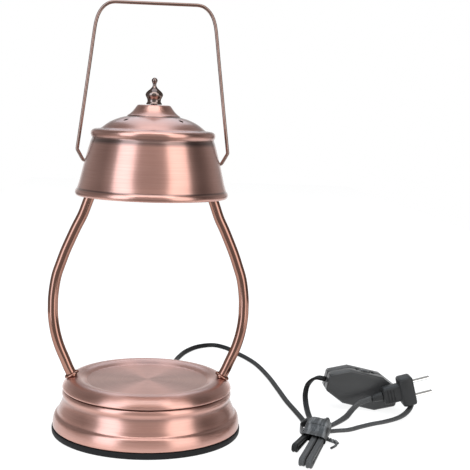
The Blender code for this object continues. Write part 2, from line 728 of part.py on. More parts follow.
bail_hole = rod("bail_hole", BAIL_WIRE_RADIUS + GAP, (-BAIL_ELBOW_REACH, 0, BAIL_AXIS_HEIGHT),
                (BAIL_ELBOW_REACH, 0, BAIL_AXIS_HEIGHT), sides=12, group=cutters)
cut(shade, bail_hole)

# Finial, an onion-shaped turned knob that clamps the shade on the rod
finial_shares = [(0.0, 1.0), (0.19, 0.97), (0.29, 0.89), (0.20, 0.81), (0.13, 0.735), (0.26, 0.645),
                 (0.58, 0.55), (0.93, 0.43), (1.0, 0.36), (0.91, 0.27), (0.78, 0.20), (0.78, 0.13),
                 (0.88, 0.05), (0.88, 0.0)]
finial_outline = [(across * FINIAL_RADIUS, finial_bottom + up * FINIAL_HEIGHT)
                  for across, up in finial_shares]
finial_outline += [(rod_hole_radius, finial_bottom), (rod_hole_radius, finial_bottom + FINIAL_BORE_DEPTH),
                   (0, finial_bottom + FINIAL_BORE_DEPTH)]
finial = turned("finial", finial_outline, BRIGHT_COPPER, closed=False, steps=SMALL_STEPS)

# Ceramic lamp holder under the crossbar, with its pin holes
socket_top = CROSSBAR_TOP - CROSSBAR_THICKNESS - GAP
socket_bottom = socket_top - SOCKET_HEIGHT
lamp_socket = rod("lamp_socket", SOCKET_RADIUS, (0, 0, socket_bottom), (0, 0, socket_top), CERAMIC, sides=24)
for side in (1, -1):
    pin_hole = rod("pin_hole", PIN_RADIUS + GAP, (0, side * PIN_PITCH / 2, socket_bottom - OVERRUN),
                   (0, side * PIN_PITCH / 2, socket_bottom + PIN_LENGTH), group=cutters)
    cut(lamp_socket, pin_hole)
socket_screw = turned("socket_screw", [
    (0, SOCKET_HEAD_HEIGHT), (SOCKET_HEAD_RADIUS, SOCKET_HEAD_HEIGHT), (SOCKET_HEAD_RADIUS, 0),
    (SOCKET_SCREW_RADIUS, 0), (SOCKET_SCREW_RADIUS, -CROSSBAR_THICKNESS - SOCKET_SCREW_DEPTH),
    (0, -CROSSBAR_THICKNESS - SOCKET_SCREW_DEPTH),
], closed=False, steps=12)
copies(("socket_screw_right", "socket_screw_left"), baked(socket_screw),
       [Matrix.Translation((side * SOCKET_SCREW_REACH, 0, CROSSBAR_TOP + GAP)) for side in (1, -1)], STEEL)
for side in (1, -1):
    screw_bore = rod("screw_bore", SOCKET_SCREW_RADIUS + SCREW_CLEARANCE,
                     (side * SOCKET_SCREW_REACH, 0, socket_top - SOCKET_SCREW_DEPTH - GAP),
                     (side * SOCKET_SCREW_REACH, 0, CROSSBAR_TOP + OVERRUN), group=cutters)
    cut(crossbar, screw_bore)
    cut(lamp_socket, screw_bore)

# Halogen bulb: reflector bowl, front lens, capsule, and the base with its two pins
bulb_top = socket_bottom - GAP
bulb_face = bulb_top - BULB_LENGTH
bowl_top = bulb_face + BULB_BOWL_HEIGHT
bowl_shares = [(0.0, 0.0), (0.39, 0.15), (0.75, 0.40), (0.957, 0.70), (1.0, 0.85), (1.0, 1.0)]
bowl_outline = [(BULB_BOWL_HOLE_RADIUS, bowl_top)]
bowl_outline += spread(bowl_shares, (BULB_BOWL_TOP_RADIUS, bowl_top), (BULB_RADIUS, bulb_face))
bulb_reflector = turned("bulb_reflector", bowl_outline, GLASS, closed=False, wall=BULB_WALL, steps=24)
lens_radius = BULB_RADIUS - BULB_WALL - GAP
bulb_lens = rod("bulb_lens", lens_radius, (0, 0, bulb_face + GAP), (0, 0, bulb_face + GAP + LENS_THICKNESS),
                GLASS, sides=24)
base_bottom = bowl_top + GAP
bulb_base = rod("bulb_base", BULB_BASE_RADIUS, (0, 0, base_bottom), (0, 0, bulb_top), CERAMIC)
for side in (1, -1):
    pin = rod("pin", PIN_RADIUS, (0, side * PIN_PITCH / 2, bulb_top - OVERRUN),
              (0, side * PIN_PITCH / 2, bulb_top + PIN_LENGTH), sides=12, group=cutters)
    unite(bulb_base, pin)
capsule_shares = [(1.0, 0.0), (1.0, 0.65), (0.8, 0.87), (0.45, 0.97), (0.0, 1.0)]
capsule_top = base_bottom - GAP
capsule_outline = [(0, capsule_top)]
capsule_outline += [(across * CAPSULE_RADIUS, capsule_top - down * CAPSULE_LENGTH)
                    for across, down in capsule_shares]
bulb_capsule = turned("bulb_capsule", capsule_outline, GLASS, closed=False, steps=12)

# Bail handle: a bent wire that swings about the line through the two holes in the shade
bail_turn, bail_elbow = Vector((BAIL_HOLE_REACH, 0)), Vector((BAIL_ELBOW_REACH, BAIL_ELBOW_RISE))
bail_leg_top = Vector((BAIL_LEG_REACH, BAIL_LEG_RISE))
rising_wire, leg_wire = (bail_elbow - bail_turn).normalized(), (bail_leg_top - bail_elbow).normalized()
bail_half = [(BAIL_HOOK_REACH, -BAIL_HOOK_DROP), (BAIL_HOOK_REACH, -BAIL_HOOK_DROP + BAIL_BEND),
             (BAIL_HOOK_REACH + BAIL_WIRE_RADIUS, 0), (BAIL_HOLE_REACH - BAIL_BEND / 4, 0)]
bail_half += [bail_turn + rising_wire * BAIL_BEND / 4, bail_elbow - rising_wire * BAIL_BEND / 2]
bail_half += [bail_elbow + leg_wire * BAIL_BEND / 2]
bail_half += [bail_elbow.lerp(bail_leg_top, share) for share in (0.35, 0.7, 1.0)]
bail_corner_shares = [(0.047, 0.203), (0.118, 0.419), (0.235, 0.634), (0.388, 0.808), (0.588, 0.942),
                      (0.80, 0.994), (1.0, 1.0)]
bail_half += spread(bail_corner_shares, bail_leg_top, (BAIL_TOP_REACH, BAIL_TOP_RISE))
bail_points = [(-x, 0, z) for x, z in bail_half] + [(x, 0, z) for x, z in reversed(bail_half)]
bail_axis = bpy.data.objects.new("bail_axis", None)
parts.objects.link(bail_axis)
bail_axis.location = (0, 0, BAIL_AXIS_HEIGHT)
bail_handle = tube("bail_handle", bail_points, BAIL_WIRE_RADIUS, BRIGHT_COPPER)
bail_handle.parent = bail_axis

# Terminal block on the cover, and the wire from it up the left arm to the lamp holder
terminal_centre = (*TERMINAL_PLACE, cover_top + GAP + TERMINAL_HEIGHT / 2)
terminal_size = (TERMINAL_LENGTH, TERMINAL_WIDTH, TERMINAL_HEIGHT)
terminal_block = block("terminal_block", terminal_size, terminal_centre, CERAMIC)
terminal_left = TERMINAL_PLACE[0] - TERMINAL_LENGTH / 2 - GAP
terminal_right = TERMINAL_PLACE[0] + TERMINAL_LENGTH / 2 + GAP
wire_bend = 6 * WIRE_RADIUS
wire_route = [(terminal_left, TERMINAL_PLACE[1], terminal_centre[2]),
              (terminal_left - wire_bend, TERMINAL_PLACE[1], terminal_centre[2]),
              (-ARM_FOOT_REACH + wire_bend / 3, TERMINAL_PLACE[1] / 3, terminal_centre[2]),
              (-ARM_FOOT_REACH, 0, ARM_FOOT_HEIGHT - wire_bend / 2)]
wire_route += [mirrored(point) for point in arm_points]
socket_side = SOCKET_RADIUS + GAP
socket_middle = socket_top - SOCKET_HEIGHT / 2
wire_route += [(-ARM_TOP_REACH + wire_bend / 6, wire_bend / 12, arm_top_height + wire_bend / 3),
               (-ARM_TOP_REACH + wire_bend, wire_bend, arm_top_height + wire_bend / 2),
               (-CROSSBAR_LEG_REACH - wire_bend, CROSSBAR_WIDTH / 2 + wire_bend,
                arm_top_height + wire_bend / 3),
               (-CROSSBAR_LEG_REACH + wire_bend, CROSSBAR_WIDTH / 2 + 2 * wire_bend, socket_middle),
               (0, socket_side + wire_bend, socket_middle),
               (0, socket_side, socket_middle)]
wire_points = smooth_route(wire_route, arm_top_height / 18, math.radians(12))
lamp_wire = tube("lamp_wire", wire_points, WIRE_RADIUS, BLACK_PLASTIC, sides_level=0)

# Strain relief where the cord leaves the back of the base
cord_hole = rod("cord_hole", RELIEF_NECK_RADIUS + GAP, (0, RELIEF_INSIDE - OVERRUN, CORD_EXIT_HEIGHT),
                (0, RELIEF_OUTSIDE + OVERRUN, CORD_EXIT_HEIGHT), group=cutters)
cut(base_shell, cord_hole)
flange_back = RELIEF_INSIDE - RELIEF_FLANGE_THICKNESS
flange_front = RELIEF_OUTSIDE + RELIEF_FLANGE_THICKNESS
relief_tip = flange_front + RELIEF_LENGTH
cord_relief = turned("cord_relief", [
    (0, relief_tip), (RELIEF_TIP_RADIUS, relief_tip), (RELIEF_NECK_RADIUS, flange_front),
    (RELIEF_FLANGE_RADIUS, flange_front), (RELIEF_FLANGE_RADIUS, RELIEF_OUTSIDE),
    (RELIEF_NECK_RADIUS, RELIEF_OUTSIDE), (RELIEF_NECK_RADIUS, RELIEF_INSIDE),
    (RELIEF_FLANGE_RADIUS, RELIEF_INSIDE), (RELIEF_FLANGE_RADIUS, flange_back), (0, flange_back),
], BLACK_RUBBER, closed=False, steps=SMALL_STEPS)
cord_relief.location = (0, 0, CORD_EXIT_HEIGHT)
cord_relief.rotation_euler = (math.radians(-90), 0, 0)

# The cord's inner end, from the strain relief to the terminal block
inner_start = (Vector((0, flange_back, CORD_EXIT_HEIGHT)), Vector((0, 1, 0)))
inner_finish = (Vector((terminal_right - GAP, *terminal_centre[1:])), Vector((-1, 0, 0)))
inner_route = cord_end(inner_start)
inner_route += [(-CORD_WIDTH / 2, TERMINAL_PLACE[1] + 4 * CORD_WIDTH, CORD_EXIT_HEIGHT),
                (terminal_right + 3 * CORD_WIDTH, TERMINAL_PLACE[1] + CORD_WIDTH, terminal_centre[2])]
inner_route += reversed(cord_end(inner_finish))
cord_inner_end = flat_cord("cord_inner_end", smooth_route(inner_route, CORD_STEP))

# In-line dimmer, tilted as it lies: two half shells, the thumbwheel and what carries it
dimmer_frame = bpy.data.objects.new("dimmer_frame", None)
parts.objects.link(dimmer_frame)
dimmer_frame.location = DIMMER_PLACE
dimmer_frame.rotation_euler = (0, DIMMER_TILT, 0)


def on_dimmer(*pieces):
    for piece in pieces:
        piece.parent = dimmer_frame


def dimmer_prism(name, inset, near, far, colour=None, group=parts):
    """The dimmer's eight-sided outline, drawn in by the inset, between two depths."""
    half, flat = DIMMER_LENGTH / 2 - inset, DIMMER_FLAT / 2
    top, end = DIMMER_HEIGHT / 2 - inset, DIMMER_END_HEIGHT / 2
    quarter = [(flat, top), (half, end), (half, -end), (flat, -top)]
    outline = quarter + [(-x, z) for x, z in reversed(quarter)]
    shape = bmesh.new()
    face = shape.faces.new([shape.verts.new((x, near, z)) for x, z in outline])
    pushed = bmesh.ops.extrude_face_region(shape, geom=[face])
    moved = [item for item in pushed["geom"] if isinstance(item, bmesh.types.BMVert)]
    bmesh.ops.translate(shape, verts=moved, vec=(0, far - near, 0))
    bmesh.ops.recalc_face_normals(shape, faces=shape.faces)
    mesh = bpy.data.meshes.new(name)
    shape.to_mesh(mesh)
    shape.free()
    return add(name, mesh, colour, group)


half_depth = DIMMER_DEPTH / 2
shell_inside = half_depth - DIMMER_WALL
slot_half_length = math.sqrt(WHEEL_RADIUS ** 2 - (DIMMER_HEIGHT / 2 - DIMMER_WALL - WHEEL_RISE) ** 2)
slot_size = (2 * (slot_half_length + WHEEL_SIDE_CLEARANCE), WHEEL_THICKNESS + 2 * WHEEL_SIDE_CLEARANCE,
             2 * DIMMER_WALL + OVERRUN)
wheel_slot = block("wheel_slot", slot_size, (0, 0, DIMMER_HEIGHT / 2 - DIMMER_WALL / 2), group=cutters)
dimmer_shells = []
for side, name in ((-1, "dimmer_front_shell"), (1, "dimmer_back_shell")):
    shell = dimmer_prism(name, 0, side * GAP / 2, side * half_depth, BLACK_PLASTIC)
    edge = shell.modifiers.new("edge", "BEVEL")
    edge.width = DIMMER_EDGE
    edge.segments = 1
    edge.limit_method = "ANGLE"
    edge.angle_limit = math.radians(50)
    hollow = dimmer_prism(name + "_hollow", DIMMER_WALL, -side * OVERRUN, side * shell_inside, group=cutters)
    cut(shell, hollow)
    cut(shell, wheel_slot)
    on_dimmer(shell, hollow)
    dimmer_shells.append(shell)
on_dimmer(wheel_slot)

# Screw posts inside both half shells, and the two screws from the back
post_height = -(DIMMER_HEIGHT / 2 - DIMMER_WALL) + POST_RADIUS * 2
head_seat = half_depth - DIMMER_HEAD_HEIGHT - DIMMER_EDGE / 2
screw_end = -shell_inside + OVERRUN
for x in (POST_REACH, -POST_REACH):
    for side, shell in zip((-1, 1), dimmer_shells):
        post = rod("post", POST_RADIUS, (x, side * GAP / 2, post_height),
                   (x, side * (half_depth - GAP), post_height), sides=12, group=cutters)
        unite(shell, post)
        on_dimmer(post)
    bore = rod("post_bore", DIMMER_SCREW_RADIUS + SCREW_CLEARANCE, (x, screw_end - GAP, post_height),
               (x, half_depth + OVERRUN, post_height), sides=12, group=cutters)
    recess = rod("head_recess", DIMMER_HEAD_RADIUS + SCREW_CLEARANCE, (x, head_seat - GAP, post_height),
                 (x, half_depth + OVERRUN, post_height), sides=12, group=cutters)
    cut(dimmer_shells[0], bore)
    cut(dimmer_shells[1], bore)
    cut(dimmer_shells[1], recess)
    on_dimmer(bore, recess)
dimmer_screw = turned("dimmer_screw", [
    (0, DIMMER_HEAD_HEIGHT), (DIMMER_HEAD_RADIUS, DIMMER_HEAD_HEIGHT), (DIMMER_HEAD_RADIUS, 0),
    (DIMMER_SCREW_RADIUS, 0), (DIMMER_SCREW_RADIUS, screw_end - head_seat), (0, screw_end - head_seat),
], closed=False, steps=12)
screw_stance = Matrix.Rotation(math.radians(-90), 4, "X")
dimmer_screws = copies(("dimmer_screw_right", "dimmer_screw_left"), baked(dimmer_screw),
                       [Matrix.Translation((x, head_seat, post_height)) @ screw_stance
                        for x in (POST_REACH, -POST_REACH)], STEEL)
on_dimmer(*dimmer_screws)

# Thumbwheel with a ridged edge; its object's origin lies on its axis
bpy.ops.mesh.primitive_cylinder_add(vertices=2 * WHEEL_RIDGES, radius=WHEEL_RADIUS, depth=WHEEL_THICKNESS)
dimmer_wheel = bpy.context.active_object
take(dimmer_wheel, parts)
for vertex in dimmer_wheel.data.vertices:
    place = round(math.atan2(vertex.co.y, vertex.co.x) * WHEEL_RIDGES / math.pi)
    if place % 2:
        vertex.co.xy *= 1 - WHEEL_RIDGE_DEPTH / WHEEL_RADIUS
dimmer_wheel.data.transform(Matrix.Rotation(math.radians(90), 4, "X"))
paint(dimmer_wheel, "dimmer_wheel", BLACK_PLASTIC)
dimmer_wheel.location = (0, 0, WHEEL_RISE)
wheel_half = WHEEL_THICKNESS / 2
wheel_bore = rod("wheel_bore", SHAFT_RADIUS + SCREW_CLEARANCE, (0, -wheel_half - OVERRUN, WHEEL_RISE),
                 (0, wheel_half + OVERRUN, WHEEL_RISE), group=cutters)
cut(dimmer_wheel, wheel_bore)
pot_front = wheel_half + GAP
dimmer_pot = rod("dimmer_pot", POT_RADIUS, (0, pot_front, WHEEL_RISE), (0, pot_front + POT_DEPTH, WHEEL_RISE),
                 BLACK_PLASTIC, sides=20)
pot_shaft = rod("pot_shaft", SHAFT_RADIUS, (0, -wheel_half - GAP, WHEEL_RISE), (0, pot_front + GAP, WHEEL_RISE),
                group=cutters)
unite(dimmer_pot, pot_shaft)
board_front = pot_front + POT_DEPTH + GAP
board_depth = shell_inside - GAP - board_front
dimmer_board = block("dimmer_board", (BOARD_LENGTH, board_depth, BOARD_HEIGHT),
                     (0, board_front + board_depth / 2, 0), GREEN_BOARD)
on_dimmer(dimmer_wheel, wheel_bore, dimmer_pot, pot_shaft, dimmer_board)

# Two-pin plug, tilted as it lies: its blades point along its frame's +X
plug_frame = bpy.data.objects.new("plug_frame", None)
parts.objects.link(plug_frame)
plug_frame.location = PLUG_PLACE
plug_frame.rotation_euler = (0, -PLUG_TILT, 0)
grip_overlap = PLUG_GRIP_LENGTH / 5
plug_body = block("plug_body", (PLUG_HEAD_LENGTH, PLUG_HEAD_DEPTH, PLUG_HEAD_HEIGHT),
                  (-PLUG_HEAD_LENGTH / 2, 0, 0), BLACK_PLASTIC, rounding=PLUG_ROUNDING)
grip = block("plug_grip", (PLUG_GRIP_LENGTH + grip_overlap, PLUG_GRIP_DEPTH, PLUG_GRIP_HEIGHT),
             (-PLUG_HEAD_LENGTH - (PLUG_GRIP_LENGTH - grip_overlap) / 2, 0, 0),
             rounding=PLUG_ROUNDING, group=cutters)
unite(plug_body, grip)
grip_end = -PLUG_HEAD_LENGTH - PLUG_GRIP_LENGTH
plug_pieces = [plug_body, grip]
for i in range(RIB_COUNT):
    x = grip_end + (i + 1.5) * RIB_PITCH
    for side in (1, -1):
        rib_cut = block("rib_cut", (RIB_WIDTH, 2 * RIB_DEPTH, PLUG_GRIP_HEIGHT - 2 * PLUG_ROUNDING),
                        (x, side * PLUG_GRIP_DEPTH / 2, 0), group=cutters)
        cut(plug_body, rib_cut)
        plug_pieces.append(rib_cut)
relief_end = grip_end - GAP - PLUG_RELIEF_LENGTH
plug_relief = turned("plug_relief", [
    (0, PLUG_RELIEF_LENGTH), (RELIEF_NECK_RADIUS, PLUG_RELIEF_LENGTH), (RELIEF_TIP_RADIUS, 0), (0, 0),
], BLACK_PLASTIC, closed=False, steps=SMALL_STEPS)
plug_relief.location = (relief_end, 0, 0)
plug_relief.rotation_euler = (0, math.radians(90), 0)
plug_pieces.append(plug_relief)

# Brass blades, rooted in pockets in the plug's face
bpy.ops.mesh.primitive_cube_add(size=1)
blade = bpy.context.active_object
blade.scale = (BLADE_LENGTH + BLADE_ROOT, BLADE_WIDTH, BLADE_THICKNESS)
blade.location = ((BLADE_LENGTH - BLADE_ROOT) / 2, 0, 0)
take(blade, cutters)
tip = blade.modifiers.new("tip", "BEVEL")
tip.width = BLADE_THICKNESS / 3
blade_places = [Matrix.Translation((0, 0, side * BLADE_PITCH / 2)) for side in (1, -1)]
plug_pieces += copies(("plug_blade_upper", "plug_blade_lower"), baked(blade), blade_places, BRASS)
for side in (1, -1):
    pocket = block("blade_pocket",
                   (BLADE_ROOT + GAP + OVERRUN, BLADE_WIDTH + 2 * GAP, BLADE_THICKNESS + 2 * GAP),
                   ((OVERRUN - BLADE_ROOT - GAP) / 2, 0, side * BLADE_PITCH / 2), group=cutters)
    cut(plug_body, pocket)
    plug_pieces.append(pocket)
for piece in plug_pieces:
    piece.parent = plug_frame

# Frame of the hank: p runs from the waist out to the folds, q to the right of it, z up
hank_out = Vector((math.cos(HANK_HEADING), math.sin(HANK_HEADING), 0))
hank_across = Vector((-hank_out.y, hank_out.x, 0))
waist = Vector((*WAIST_PLACE, 0))


def hank_point(p, q, z):
    return waist + hank_out * p + hank_across * q + Vector((0, 0, z))


low_layer = 2 * GAP + TIE_THICKNESS + CORD_THICKNESS / 2
mid_layer = low_layer + LAYER_PITCH
high_layer = mid_layer + LAYER_PITCH
fold_top = FLOOR_LEVEL + 2 * FOLD_RADIUS


def fold(reach, q, turn, low_start, high_end, pieces=8):
    """One fold of the hank: out along the floor, round an upright half turn, and back above."""
    tilt = Matrix.Rotation(turn, 3, "Z")
    foot = hank_point(0, q, 0)

    def placed(p, z):
        return foot + tilt @ (hank_out * p) + Vector((0, 0, z))

    centre = reach - FOLD_RADIUS - CORD_THICKNESS / 2
    points = [placed(2 * CORD_WIDTH, low_start), placed(4 * CORD_WIDTH, FLOOR_LEVEL)]
    points += [placed(share * centre, FLOOR_LEVEL) for share in (0.6, 0.85)]
    for k in range(pieces + 1):
        angle = math.pi * k / pieces
        points.append(placed(centre + FOLD_RADIUS * math.sin(angle),
                             FLOOR_LEVEL + FOLD_RADIUS * (1 - math.cos(angle))))
    points += [placed(share * centre, high_end + (fold_top - high_end) * max(0.0, (share - 0.25) / 0.75) ** 1.5)
               for share in (0.8, 0.6, 0.4, 0.25, 0.12)]
    return points


def level_way(degrees):
    """A level direction, given by its angle from +X."""
    return Vector((math.cos(math.radians(degrees)), math.sin(math.radians(degrees)), 0))


first_column, second_column, third_column = -COLUMN_PITCH, 0.0, COLUMN_PITCH

# Where the hank's two cords meet the free stretches: a point, and the way into the hank
lead_seat = (Vector((0.1303, 0.0220, FLOOR_LEVEL)), level_way(-87.7))
dimmer_seat = (Vector((0.1372, 0.0240, FLOOR_LEVEL)), level_way(-92.3))
return_seat = (Vector((0.1640, -0.0040, FLOOR_LEVEL)), level_way(202.4))
plug_seat = (Vector((0.1560, 0.0120, FLOOR_LEVEL)), level_way(231.5))
rising = (FLOOR_LEVEL + low_layer) / 2


def hank_end(seat):
    """The first points of a hank cord, straight in from its seat."""
    point, inward = seat
    return [point + inward * (CORD_WIDTH * share) for share in (0, 0.4, 0.8)]


# Cord from the lamp through the hank's first fold, towards the dimmer
lamp_side_entry = [(0.1310, 0.0070, FLOOR_LEVEL), (0.1328, -0.0015, rising)]
lamp_side_exit = [(0.1360, -0.0010, 0.0054), (0.1371, 0.0080, 0.0034)]
lamp_side_route = hank_end(lead_seat) + lamp_side_entry + [hank_point(0, first_column, low_layer)]
lamp_side_route += fold(FIRST_FOLD_REACH, first_column, FIRST_FOLD_TURN, low_layer, mid_layer)
lamp_side_route += [hank_point(0, first_column, mid_layer)] + lamp_side_exit
lamp_side_route += reversed(hank_end(dimmer_seat))
hank_lamp_side = flat_cord("hank_lamp_side", smooth_route(lamp_side_route, CORD_STEP))

# Cord from the dimmer through the hank's third and second folds, towards the plug
plug_side_entry = [(0.1535, -0.0066, FLOOR_LEVEL), (0.1495, -0.0078, FLOOR_LEVEL), (0.1463, -0.0106, rising)]
plug_side_exit = [(0.1413, -0.0042, rising), (0.1476, 0.0026, FLOOR_LEVEL)]
plug_side_route = hank_end(return_seat) + plug_side_entry + [hank_point(CORD_WIDTH, third_column, low_layer)]
plug_side_route += fold(THIRD_FOLD_REACH, third_column, 0, low_layer, mid_layer)
plug_side_route += [hank_point(0, third_column, mid_layer)]
for k in range(7):
    angle = math.pi * k / 6
    plug_side_route.append(hank_point(-UPPER_FOLD_REACH - UPPER_FOLD_RADIUS * math.sin(angle),
                                      third_column - k / 6 * COLUMN_PITCH / 3,
                                      mid_layer + UPPER_FOLD_RADIUS * (1 - math.cos(angle))))
plug_side_route += [hank_point(0, third_column / 2, high_layer + 2 * GAP),
                    hank_point(2 * CORD_WIDTH, third_column / 4, high_layer)]
plug_side_route += fold(SECOND_FOLD_REACH, second_column, 0, low_layer, high_layer)[-3::-1]
plug_side_route += [hank_point(0, second_column, low_layer)] + plug_side_exit
plug_side_route += reversed(hank_end(plug_seat))
hank_plug_side = flat_cord("hank_plug_side", smooth_route(plug_side_route, CORD_STEP))


def least_gap(runs):
    """The least distance between the surfaces of two stretches of cord, taken on points 1 mm apart."""
    spots, places = [], []
    for number, run in enumerate(runs):
        fine = fine_route(run, 12)
        along, sides = flat_sides(fine)
        reach = 0.0
        for before, point, heading, side in zip(fine[:1] + fine, fine, along, sides):
            reach += (point - before).length
            for x, y in cord_section():
                spots.append(point + side * x + side.cross(heading) * y)
                places.append(reach + number)
    spots, places = numpy.array(spots), numpy.array(places)
    found = (1.0, None)
    for spot, place in zip(spots, places):
        apart = numpy.linalg.norm(spots - spot, axis=1)
        apart[numpy.abs(places - place) < 3 * CORD_WIDTH] = 1.0
        found = min(found, (apart.min(), tuple(numpy.round(spot, 4))))
    return found


hank_gap, hank_spot = least_gap((lamp_side_route, plug_side_route))
print(f"least gap in the hank: {1000 * hank_gap:.2f} mm at {hank_spot}")

# The cord's free stretches, each ending face to face with the next piece
relief_seat = (Vector((0, relief_tip, CORD_EXIT_HEIGHT)), Vector((0, -1, 0)))
lead_route = cord_end(relief_seat)
lead_route += [(0.0012, 0.1115, 0.0100), (0.0040, 0.1240, 0.0056), (0.0082, 0.1370, 0.0034),
               (0.0128, 0.1510, 0.0029), (0.0230, 0.1880, 0.0029), (0.0315, 0.2270, 0.0028),
               (0.0420, 0.2580, 0.0027), (0.0560, 0.2790, 0.0026), (0.0710, 0.2860, 0.0025),
               (0.0830, 0.2760, 0.0023), (0.0930, 0.2540, 0.0021), (0.1020, 0.2330, 0.0019),
               (0.1100, 0.2060, 0.0018), (0.1170, 0.1610, FLOOR_LEVEL), (0.1210, 0.1150, FLOOR_LEVEL),
               (0.1240, 0.0760, FLOOR_LEVEL), (0.1280, 0.0430, FLOOR_LEVEL)]
lead_route += reversed(cord_end(lead_seat))
cord_lead = flat_cord("cord_lead", smooth_route(lead_route, CORD_STEP), start_roll=math.radians(90),
                      span=LEAD_ROLL_SPAN)

# The dimmer's two cord ends stand on edge in its parting
dimmer_turn = Matrix.Rotation(DIMMER_TILT, 3, "Y")
dimmer_axis = dimmer_turn @ Vector((1, 0, 0))
dimmer_centre = Vector(DIMMER_PLACE)
dimmer_in_seat = (dimmer_centre - dimmer_axis * (DIMMER_LENGTH / 2), dimmer_axis)
dimmer_out_seat = (dimmer_centre + dimmer_axis * (DIMMER_LENGTH / 2), -dimmer_axis)
arc_route = cord_end(dimmer_seat)
arc_route += [(0.1378, 0.0400, FLOOR_LEVEL), (0.1384, 0.0520, 0.0024), (0.1389, 0.0630, 0.0056),
              (0.1398, 0.0710, 0.0108), (0.1422, 0.0745, 0.0175), (0.1466, 0.0716, 0.0235),
              (0.1500, 0.0682, 0.0256)]
arc_route += reversed(cord_end(dimmer_in_seat))
cord_to_dimmer = flat_cord("cord_to_dimmer", smooth_route(arc_route, CORD_STEP), end_roll=math.radians(90))
return_route = cord_end(dimmer_out_seat)
return_route += [(0.2276, 0.0646, 0.0098), (0.2302, 0.0605, 0.0092), (0.2308, 0.0550, 0.0086),
                 (0.2296, 0.0485, 0.0079), (0.2265, 0.0415, 0.0066), (0.2220, 0.0350, 0.0048),
                 (0.2160, 0.0290, 0.0032), (0.2090, 0.0242, 0.0022), (0.1990, 0.0185, FLOOR_LEVEL),
                 (0.1880, 0.0125, FLOOR_LEVEL), (0.1760, 0.0045, FLOOR_LEVEL)]
return_route += reversed(cord_end(return_seat))
cord_from_dimmer = flat_cord("cord_from_dimmer", smooth_route(return_route, CORD_STEP),
                             start_roll=math.radians(90))

# Last stretch, up to the plug's own strain relief
plug_turn = Matrix.Rotation(-PLUG_TILT, 3, "Y")
plug_axis = plug_turn @ Vector((1, 0, 0))
plug_tail_seat = (Vector(PLUG_PLACE) + plug_axis * relief_end, plug_axis)
tail_route = cord_end(plug_seat)
tail_route += [(0.1650, 0.0240, FLOOR_LEVEL), (0.1695, 0.0308, 0.0024), (0.1740, 0.0370, 0.0046),
               (0.1785, 0.0412, 0.0076), (0.1832, 0.0434, 0.0107)]
tail_route += reversed(cord_end(plug_tail_seat))
cord_to_plug = flat_cord("cord_to_plug", smooth_route(tail_route, CORD_STEP))

# Wire tie round the hank's waist, with its twisted end on the right
tie_reach = COLUMN_PITCH + CORD_WIDTH / 2 + 5 * GAP
tie_low = GAP + TIE_THICKNESS
tie_mid = mid_layer + CORD_THICKNESS / 2 + GAP
tie_high = high_layer + CORD_THICKNESS / 2 + 5 * GAP
tie_corner = CORD_THICKNESS / 4
tie_path = [(-tie_reach + tie_corner, tie_low), (tie_reach - tie_corner, tie_low),
            (tie_reach, tie_low + tie_corner), (tie_reach, tie_mid - tie_corner),
            (tie_reach - tie_corner / 2, tie_mid), (COLUMN_PITCH, tie_high), (GAP, tie_high),
            (-COLUMN_PITCH, tie_mid),
            (-tie_reach + tie_corner, tie_mid), (-tie_reach, tie_mid - tie_corner),
            (-tie_reach, tie_low + tie_corner)]
tie_shape = bmesh.new()
tie_rows = [[tie_shape.verts.new(hank_point(TIE_OFFSET + p, q, z)) for p in (-TIE_WIDTH / 2, TIE_WIDTH / 2)]
            for q, z in tie_path]
for first, second in zip(tie_rows, tie_rows[1:] + tie_rows[:1]):
    tie_shape.faces.new((first[0], second[0], second[1], first[1]))
tie_mesh = bpy.data.meshes.new("twist_tie")
tie_shape.to_mesh(tie_mesh)
tie_shape.free()
twist_tie = add("twist_tie", tie_mesh, BLACK_PLASTIC)
tie_sheet = twist_tie.modifiers.new("sheet", "SOLIDIFY")
tie_sheet.thickness = TIE_THICKNESS
tie_sheet.offset = 1
tie_sheet.use_even_offset = True
tail_start = tie_reach + TIE_THICKNESS / 2
tail_low = TIE_TAIL_RADIUS + 2 * GAP
tie_tail_route = [(0, 0, low_layer), (0.0010, 0.0020, low_layer), (0.0040, 0.0045, tail_low),
                  (0.0110, 0.0085, tail_low)]
tie_tail = tube("tie_tail", [hank_point(TIE_OFFSET + p, tail_start + q, z) for p, q, z in tie_tail_route],
                TIE_TAIL_RADIUS, sides_level=1, group=cutters)
tie_tail = add("tie_tail_solid", welded(baked(tie_tail)), group=cutters)
unite(twist_tie, tie_tail)
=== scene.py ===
import math

import bmesh
import bpy
from mathutils import Matrix, Vector


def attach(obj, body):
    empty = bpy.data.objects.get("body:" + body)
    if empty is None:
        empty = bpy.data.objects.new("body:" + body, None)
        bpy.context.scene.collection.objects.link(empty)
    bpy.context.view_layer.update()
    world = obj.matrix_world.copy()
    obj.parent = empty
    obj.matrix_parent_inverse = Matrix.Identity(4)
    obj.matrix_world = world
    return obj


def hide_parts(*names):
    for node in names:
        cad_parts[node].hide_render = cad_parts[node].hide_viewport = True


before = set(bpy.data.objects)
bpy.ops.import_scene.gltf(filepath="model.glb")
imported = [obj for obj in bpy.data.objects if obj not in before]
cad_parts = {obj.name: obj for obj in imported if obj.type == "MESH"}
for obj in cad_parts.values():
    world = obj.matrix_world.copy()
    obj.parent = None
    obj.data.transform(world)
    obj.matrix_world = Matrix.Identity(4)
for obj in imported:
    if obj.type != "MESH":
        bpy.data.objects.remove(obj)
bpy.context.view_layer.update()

# Camera.
# It stands level with the top of the shade and looks slightly down and to the right, with a small roll,
# so that foot, shade and bail fall where the photograph has them. Its angles are in radians.
camera_place = (0, -0.7802, 0.2518)
pan, pitch, roll = 0.0848, 0.1186, 0.0348
looking = Vector((math.sin(pan) * math.cos(pitch), math.cos(pan) * math.cos(pitch), -math.sin(pitch)))
level = Vector((math.cos(pan), -math.sin(pan), 0))
upward = level.cross(looking)
